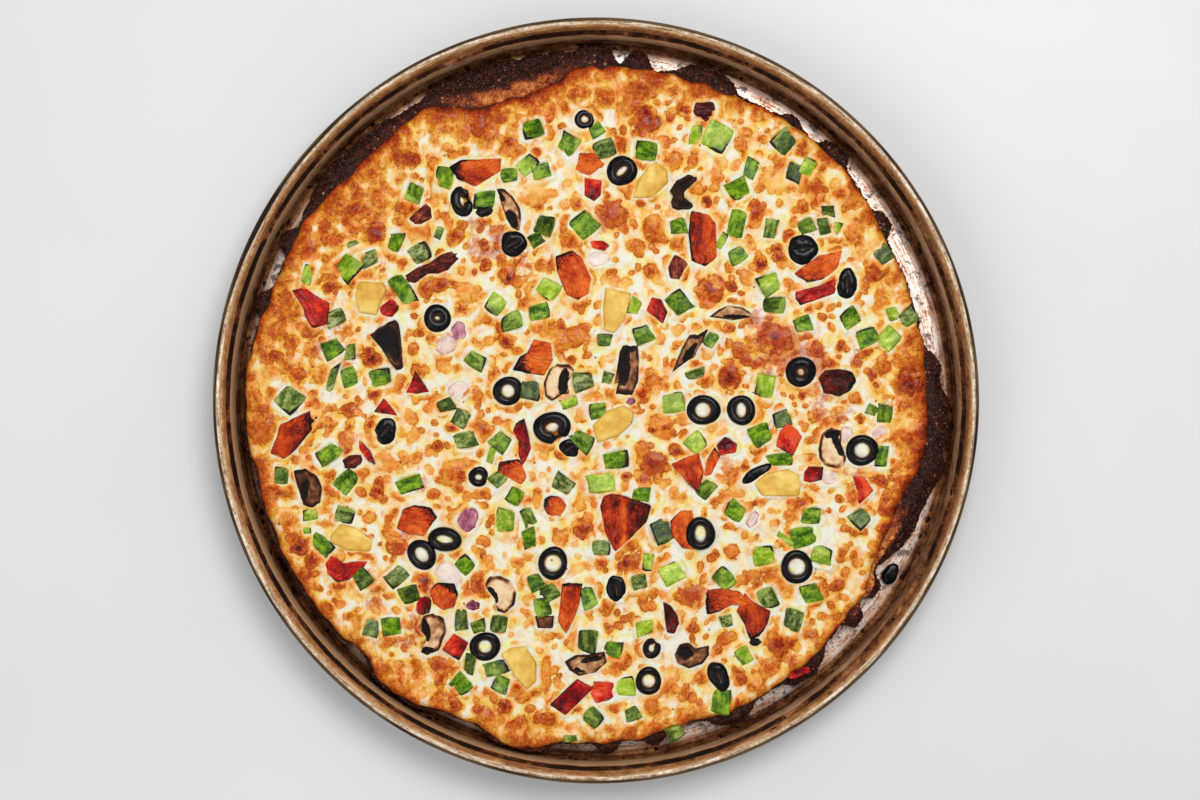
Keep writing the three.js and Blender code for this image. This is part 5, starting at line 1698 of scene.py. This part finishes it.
def mushroomFinish():
    finish = Finish("roastMushroom", Roughness=0.45, Specular_IOR_Level=0.1)
    grain = finish.layer("grain", "Vector")
    place = finish.place()
    fibres = finish.noise(finish.stretched(grain, (0.5, 1.3, 1)), 1.8, 4)
    spots = finish.noise(place, 2.6, 3)
    brown = finish.layer("brown") + (spots - 0.5) * 0.7 + (fibres - 0.5) * 0.3
    colour = finish.ramp(brown, [
        (0.0, 242, 214, 174), (0.2, 228, 186, 138), (0.42, 170, 114, 74), (0.62, 104, 58, 34),
        (0.9, 44, 22, 14),
    ])
    gill = finish.layer("gill") + (fibres - 0.5) * 0.5 + (spots - 0.5) * 0.3
    colour = finish.blend(gill.between(0.36, 0.56), colour, tint(58, 32, 20))
    colour = finish.blend(gill.between(0.56, 0.95), colour, tint(20, 12, 9))
    relief = finish.bump(fibres + gill * 0.5, 0.6, 0.9)
    return finish.wear(Base_Color=colour, Normal=relief)


mushroomLook = {
    "kind": "mushroom",
    "outline": {"ragged": 0.05},
    "flatness": 5,
    "wrinkle": 0.4,
    "rimRise": 0.5,
    "gillDepth": 1,
}


def layMushroom(batch, piece, rise, look):
    def gillAt(x, y):
        dark = np.zeros_like(x)
        for gx, gy, long, wide, turn in piece["gills"]:
            spot = topping(piece["at"][0] + gx, piece["at"][1] + gy, long, wide, turn)
            inSpot = shareInside(spot, 2, *pushed(x, y, 0.8, 3, 35, 36))
            dark = np.maximum(dark, 1 - smooth(inSpot, 0.6, 1.2))
        return dark

    def shape(along, across, edge, x, y):
        rim = look["rimRise"] * smooth(edge, 0.6, 0.9)
        return look["wrinkle"] * roughNoise(x, y, 5, 33, 3) + rim - look["gillDepth"] * gillAt(x, y)

    def looks(along, across, edge, x, y):
        skin = smooth(edge, 0.74, 0.9) * smooth(roughNoise(x, y, 8, 37, 2), -0.5, 0.2)
        brown = piece["dark"] + 0.25 * roughNoise(x, y, 6, 38, 2) + (0.8 - 0.4 * piece["dark"]) * skin
        return {"brown": np.clip(brown, 0, 1), "gill": gillAt(x, y)}

    layBody(batch, piece, rise, look, shape, looks)


makeGroup("roastMushrooms", mushrooms, layMushroom, mushroomLook, mushroomFinish())


# pineapple

def pineappleFinish():
    finish = Finish("pineappleChunk", Roughness=0.4, Specular_IOR_Level=0.15, Subsurface_Weight=0.15,
                    Subsurface_Scale=0.004)
    grain = finish.layer("grain", "Vector")
    place = finish.place()
    fibres = finish.noise(finish.stretched(grain, (0.3, 1.0, 1)), 3.4, 3, 0.5)
    spots = finish.noise(place, 2.2, 3)
    clouds = finish.noise(place, 7, 3)
    colour = finish.ramp(fibres * 0.3 + clouds * 0.7, [
        (0.34, 212, 156, 58), (0.5, 230, 186, 84), (0.64, 243, 212, 122),
    ])
    burn = finish.layer("burn") + (spots - 0.5) * 0.7 + (fibres - 0.5) * 0.2
    colour = finish.blend(burn.between(0.36, 0.62) * 0.6, colour, tint(208, 140, 52))
    fleck = finish.noise(place, 1.4, 2)
    colour = finish.blend((fleck + burn * 0.3).between(0.78, 0.86), colour, tint(104, 56, 22))
    relief = finish.bump(fibres, 0.3, 0.6)
    return finish.wear(Base_Color=colour, Normal=relief)


pineappleLook = {
    "kind": "pineapple",
    "outline": {"corners": 5},
    "flatness": 6,
    "lowered": 0.2,
    "bumps": 0.25,
    "ridges": 0.1,
}


def layPineapple(batch, piece, rise, look):
    burnAt = burning(piece)

    def shape(along, across, edge, x, y):
        ridges = np.sin(across * 1.3 + 1.5 * softNoise(x, y, 6, 37))
        return look["bumps"] * softNoise(x, y, 9, 39) + look["ridges"] * ridges

    def looks(along, across, edge, x, y):
        return {"burn": burnAt(along, across, edge, x, y)[0]}

    layBody(batch, piece, rise - look["lowered"], look, shape, looks)


makeGroup("pineappleChunks", pineapples, layPineapple, pineappleLook, pineappleFinish())


# diced green pepper

def dieFinish():
    finish = Finish("greenPepper", Roughness=0.3, Specular_IOR_Level=0.14, Coat_Weight=0.05,
                    Coat_Roughness=0.08)
    place = finish.place()
    grain = finish.layer("grain", "Vector")
    spots = finish.noise(place, 1.4, 3, 0.6)
    veins = finish.noise(finish.stretched(grain, (0.6, 1.1, 1)), 3.4, 3)
    light, dark, grey = finish.parts(finish.layer("look", "Vector"))
    shade = veins + (spots - 0.5) * 0.6
    colour = finish.ramp(shade, [(0.32, 36, 72, 0), (0.48, 80, 122, 2), (0.64, 138, 170, 24)])
    pale = finish.ramp(shade, [(0.3, 122, 164, 14), (0.5, 164, 194, 40), (0.7, 216, 226, 104)])
    colour = finish.blend(light, colour, pale)
    deep = finish.ramp(shade, [(0.35, 22, 38, 0), (0.52, 56, 78, 4), (0.68, 108, 122, 22)])
    colour = finish.blend(dark, colour, deep)
    ashen = finish.ramp(shade, [(0.36, 54, 66, 20), (0.5, 108, 122, 54), (0.64, 172, 178, 120)])
    colour = finish.blend(grey, colour, ashen)
    # painted shade: each die is darkened towards one side, as if that side were turned away from the light
    colour = finish.blend(finish.layer("fold") * 0.75, colour, tint(24, 54, 2))
    colour = finish.blend(finish.layer("flesh") * 0.5, colour, tint(150, 178, 44))
    # painted highlight: a pale lime patch on each die stands in for the light's shine on it
    paintedGlint = finish.layer("facet") + (spots - 0.5) * 0.5
    colour = finish.blend(paintedGlint.between(0.4, 0.8) * 0.45, colour, tint(176, 200, 90))
    burn = finish.layer("burn") + (spots - 0.5) * 0.7
    colour = finish.blend(burn.between(0.35, 0.6), colour, tint(30, 24, 10))
    relief = finish.bump(spots + veins * 0.5, 0.35, 0.7)
    return finish.wear(Base_Color=colour, Normal=relief)


# how light, how dark and how ashen each look is
dieLooks = {
    "bright": (0, 0, 0),
    "light": (0.9, 0, 0),
    "dark": (0, 0.85, 0.1),
    "olive": (0.2, 0.5, 0.4),
    "grey": (0, 0.15, 0.85),
}
die = {"side": 7, "topShare": 0.88, "corner": 1.36, "cornerTurn": 0.26, "cornerReach": 0.16, "lean": 0.3}


def dieOutline(own):
    # four shaken corners with nearly straight sides between them, as shares of the die's half sizes
    corners = []
    for k in range(4):
        turn = (k + 0.5) * math.pi / 2 + own.uniform(-1, 1) * die["cornerTurn"]
        reach = die["corner"] * (1 + own.uniform(-1, 1) * die["cornerReach"])
        corners.append((reach * math.cos(turn), reach * math.sin(turn)))
    outline = []
    for k in range(4):
        start, end = corners[k], corners[(k + 1) % 4]
        bow = own.uniform(-0.08, 0.16)
        for step in range(die["side"]):
            share = step / die["side"]
            out = 1 + bow * math.sin(math.pi * share)
            outline.append([(a + (b - a) * share) * out for a, b in zip(start, end)])
    return np.array(outline)


def layDie(batch, row, look, own):
    piece = topping(*row)
    ground = surfaceHeight(*piece["at"])
    outline = dieOutline(own) * [piece["size"][0] / 2, piece["size"][1] / 2]
    around = len(outline)
    rise = kinds["die"]["rise"] + own.uniform(-0.2, 0.2)
    # share of the outline, and height, from the middle of the top out and down to the root
    top = die["topShare"]
    steps = [(0.3, 1), (0.6, 1), (0.85, 1), (0.95, 0.97), (1.0, 0.82)]
    rings = [(top * share, level * rise) for share, level in steps]
    rings += [((1 + top) / 2, 0.45 * rise), (1.0, 0), (1.0, -1.0), (0.9, -rootDepth)]
    local = [np.zeros((1, 2))] + [outline * share for share, level in rings]
    heights = [np.full(1, rise)] + [np.full(around, level) for share, level in rings]
    local, height = np.concatenate(local), np.concatenate(heights)
    along, across = local[:, 0], local[:, 1]
    x, y = turned(piece, along, across)
    leanAt, lean = own.uniform(0, math.tau), own.uniform(0.03, die["lean"])
    bow = own.uniform(-0.4, 0.6)
    up = smooth(height, -0.5, 1.2)
    tipped = lean * (along * math.cos(leanAt) + across * math.sin(leanAt))
    bowed = bow * ((2 * across / piece["size"][1]) ** 2 - 0.4)
    z = ground + height + up * np.clip(tipped + bowed + 0.15 * roughNoise(x, y, 4, 45), -1.1, 1.3)
    points = np.concatenate([np.stack([x, y, z], 1), [[*piece["at"], ground - rootDepth]]])
    flesh = np.concatenate([smooth(rise * 0.9 - height, 0, 0.5), [1]])
    # a painted shade darkens each die towards one side, and a painted highlight lightens it towards the
    # other
    sideTurn = own.uniform(0, math.tau)
    halfSize = max(piece["size"]) / 2
    toSide = (along * math.cos(sideTurn) + across * math.sin(sideTurn)) / halfSize
    fold = smooth(toSide + 0.35 * roughNoise(x, y, 5, 47), own.uniform(-0.1, 0.5), own.uniform(0.55, 0.9))
    burntAt = own.uniform(0, math.tau)
    rim = np.concatenate([[0], *[np.full(around, share) for share, level in rings]])
    toBurn = (along * math.cos(burntAt) + across * math.sin(burntAt)) / halfSize
    burn = own.uniform(0.4, 1.1) * smooth(toBurn, 0.25, 0.8) * smooth(rim, 0.6, 0.86)
    # painted highlight, on the side away from the painted shade
    paintedHighlightAt = sideTurn + math.pi + own.uniform(-0.8, 0.8)
    toPaintedHighlight = (along * math.cos(paintedHighlightAt) + across * math.sin(paintedHighlightAt)) / halfSize
    facet = own.uniform(0, 1) ** 1.5 * smooth(toPaintedHighlight + 0.2 * roughNoise(x, y, 4, 48), 0.2, 0.6)

    def pad(values):
        return np.append(values, values[-1])

    mixed = np.clip(np.array(look) + own.normal(0, 0.16, 3), 0, 1)
    layers = {
        "look": np.repeat(mixed[None], len(points), 0),
        "flesh": flesh,
        "fold": pad(fold) * own.uniform(0.1, 1.0),
        "burn": pad(burn),
        "facet": pad(facet),
        "grain": np.stack([pad(along), pad(across), np.full(len(points), piece["at"][0])], 1) * mm,
    }
    batch.take(points, layers, *bodyFaces(len(rings), around))


diceBatch = Batch()
seed = 0
for lookName, rows in dice.items():
    for row in rows:
        seed += 1
        layDie(diceBatch, row, dieLooks[lookName], np.random.default_rng(seed))
diceBatch.make("greenPepperDice", dieFinish())


# black olives

def oliveFinish():
    finish = Finish("blackOlive", Specular_IOR_Level=0.07, Coat_Weight=0.12, Coat_Roughness=0.07)
    place = finish.place()
    spots = finish.noise(place, 2.4, 3)
    fine = finish.noise(place, 0.7, 2)
    colour = finish.ramp(spots, [(0.35, 7, 7, 9), (0.55, 14, 14, 17), (0.75, 34, 30, 32)])
    inner = finish.layer("inner")
    colour = finish.blend(inner * 0.8, colour, tint(74, 46, 36))
    relief = finish.bump(spots + fine * 0.3, 0.3, 0.5)
    return finish.wear(Base_Color=colour, Roughness=spots.between(0.3, 0.7, 0.16, 0.34), Normal=relief)


oliveLook = {
    "kind": "olive",
    "outline": {},
    "flatness": 3,
    "around": 52,
    "section": 16,
    "sectionSquare": 2.8,
    "slitDepth": 1.3,
    "wrinkle": 0.3,
}


def layOliveRing(batch, piece, rise, look):
    # a ring's section is a squared loop between the hole and the outline
    around, section, square = look["around"], look["section"], look["sectionSquare"]
    turn = np.repeat(turnsRound(around), section)
    bend = np.tile(turnsRound(section), around)
    cos, sin = np.cos(bend), np.sin(bend)
    reach = (np.abs(cos) ** square + np.abs(sin) ** square) ** (-1 / square)
    out = 0.5 + 0.5 * reach * cos
    up = reach * sin
    if "cut" in piece:
        cutAt = math.radians(piece["cut"] - piece["turn"])
        away = np.abs((turn - cutAt + math.pi) % math.tau - math.pi)
        thin = 0.25 + 0.75 * smooth(away, 0.12, 0.5)
        out = 0.5 + (out - 0.5) * thin
        up = up * thin
    phase = phaseOf(piece)
    uneven = 1 + 0.025 * np.sin(2 * turn + phase) + 0.02 * np.sin(3 * turn + 2 * phase)
    innerX, innerY = [h / 2 for h in piece["hole"]]
    outerX, outerY = [s / 2 for s in piece["size"]]
    along = np.cos(turn) * (innerX + (outerX * uneven - innerX) * out)
    across = np.sin(turn) * (innerY + (outerY * uneven - innerY) * out)
    x, y = turned(piece, along, across)
    lift = piece.get("lift", 0)
    half = (rise + lift + 1.2) / 2
    lean = 0.35 * np.sin(turn + phase)
    z = surfaceHeight(*piece["at"]) + rise + lift - half + half * up * (1 - 0.12 * (out > 0.75)) + lean
    points = np.stack([x, y, z], 1)
    last = (around - 1) * section
    row, after = roundPairs(section)
    seam = np.stack([last + row, row, after, last + after], 1)
    layers = {"inner": smooth(0.35 - out, 0, 0.35), "grain": points * mm}
    batch.take(points, layers, np.concatenate([ringFaces(around, section), seam]))


def layOliveLens(batch, piece, rise, look):
    groove = math.radians(piece.get("groove", 0))

    def slitAt(along, across, wide, long):
        toward = along * math.cos(groove) + across * math.sin(groove)
        side = -along * math.sin(groove) + across * math.cos(groove)
        return np.exp(-((side / wide) ** 2) - (toward / long) ** 2) * ("groove" in piece)

    def shape(along, across, edge, x, y):
        slit = look["slitDepth"] * slitAt(along, across, 1.2, 3)
        return look["wrinkle"] * roughNoise(x, y, 5, 49) - slit

    def looks(along, across, edge, x, y):
        return {"inner": slitAt(along, across, 0.8, 2.4)}

    layBody(batch, piece, rise, look, shape, looks)


def layOlive(batch, piece, rise, look):
    lay = layOliveRing if "hole" in piece else layOliveLens
    lay(batch, piece, rise, look)


makeGroup("blackOlives", olives, layOlive, oliveLook, oliveFinish())


# the floor

def floorFinish():
    finish = Finish("paleFloor", Roughness=0.5)
    place = finish.place()
    cloud = finish.noise(place, 260, 3)
    colour = finish.ramp(cloud, [(0.3, 222, 222, 221), (0.7, 229, 229, 228)])
    return finish.wear(Base_Color=colour)


def makeFloor():
    half = studio["floorHalf"]
    corners = [(-half, -half, 0), (half, -half, 0), (half, half, 0), (-half, half, 0)]
    mesh = bpy.data.meshes.new("paleFloor")
    mesh.from_pydata(corners, [], [(0, 1, 2, 3)])
    mesh.materials.append(floorFinish())
    placed("paleFloor", mesh)


makeFloor()
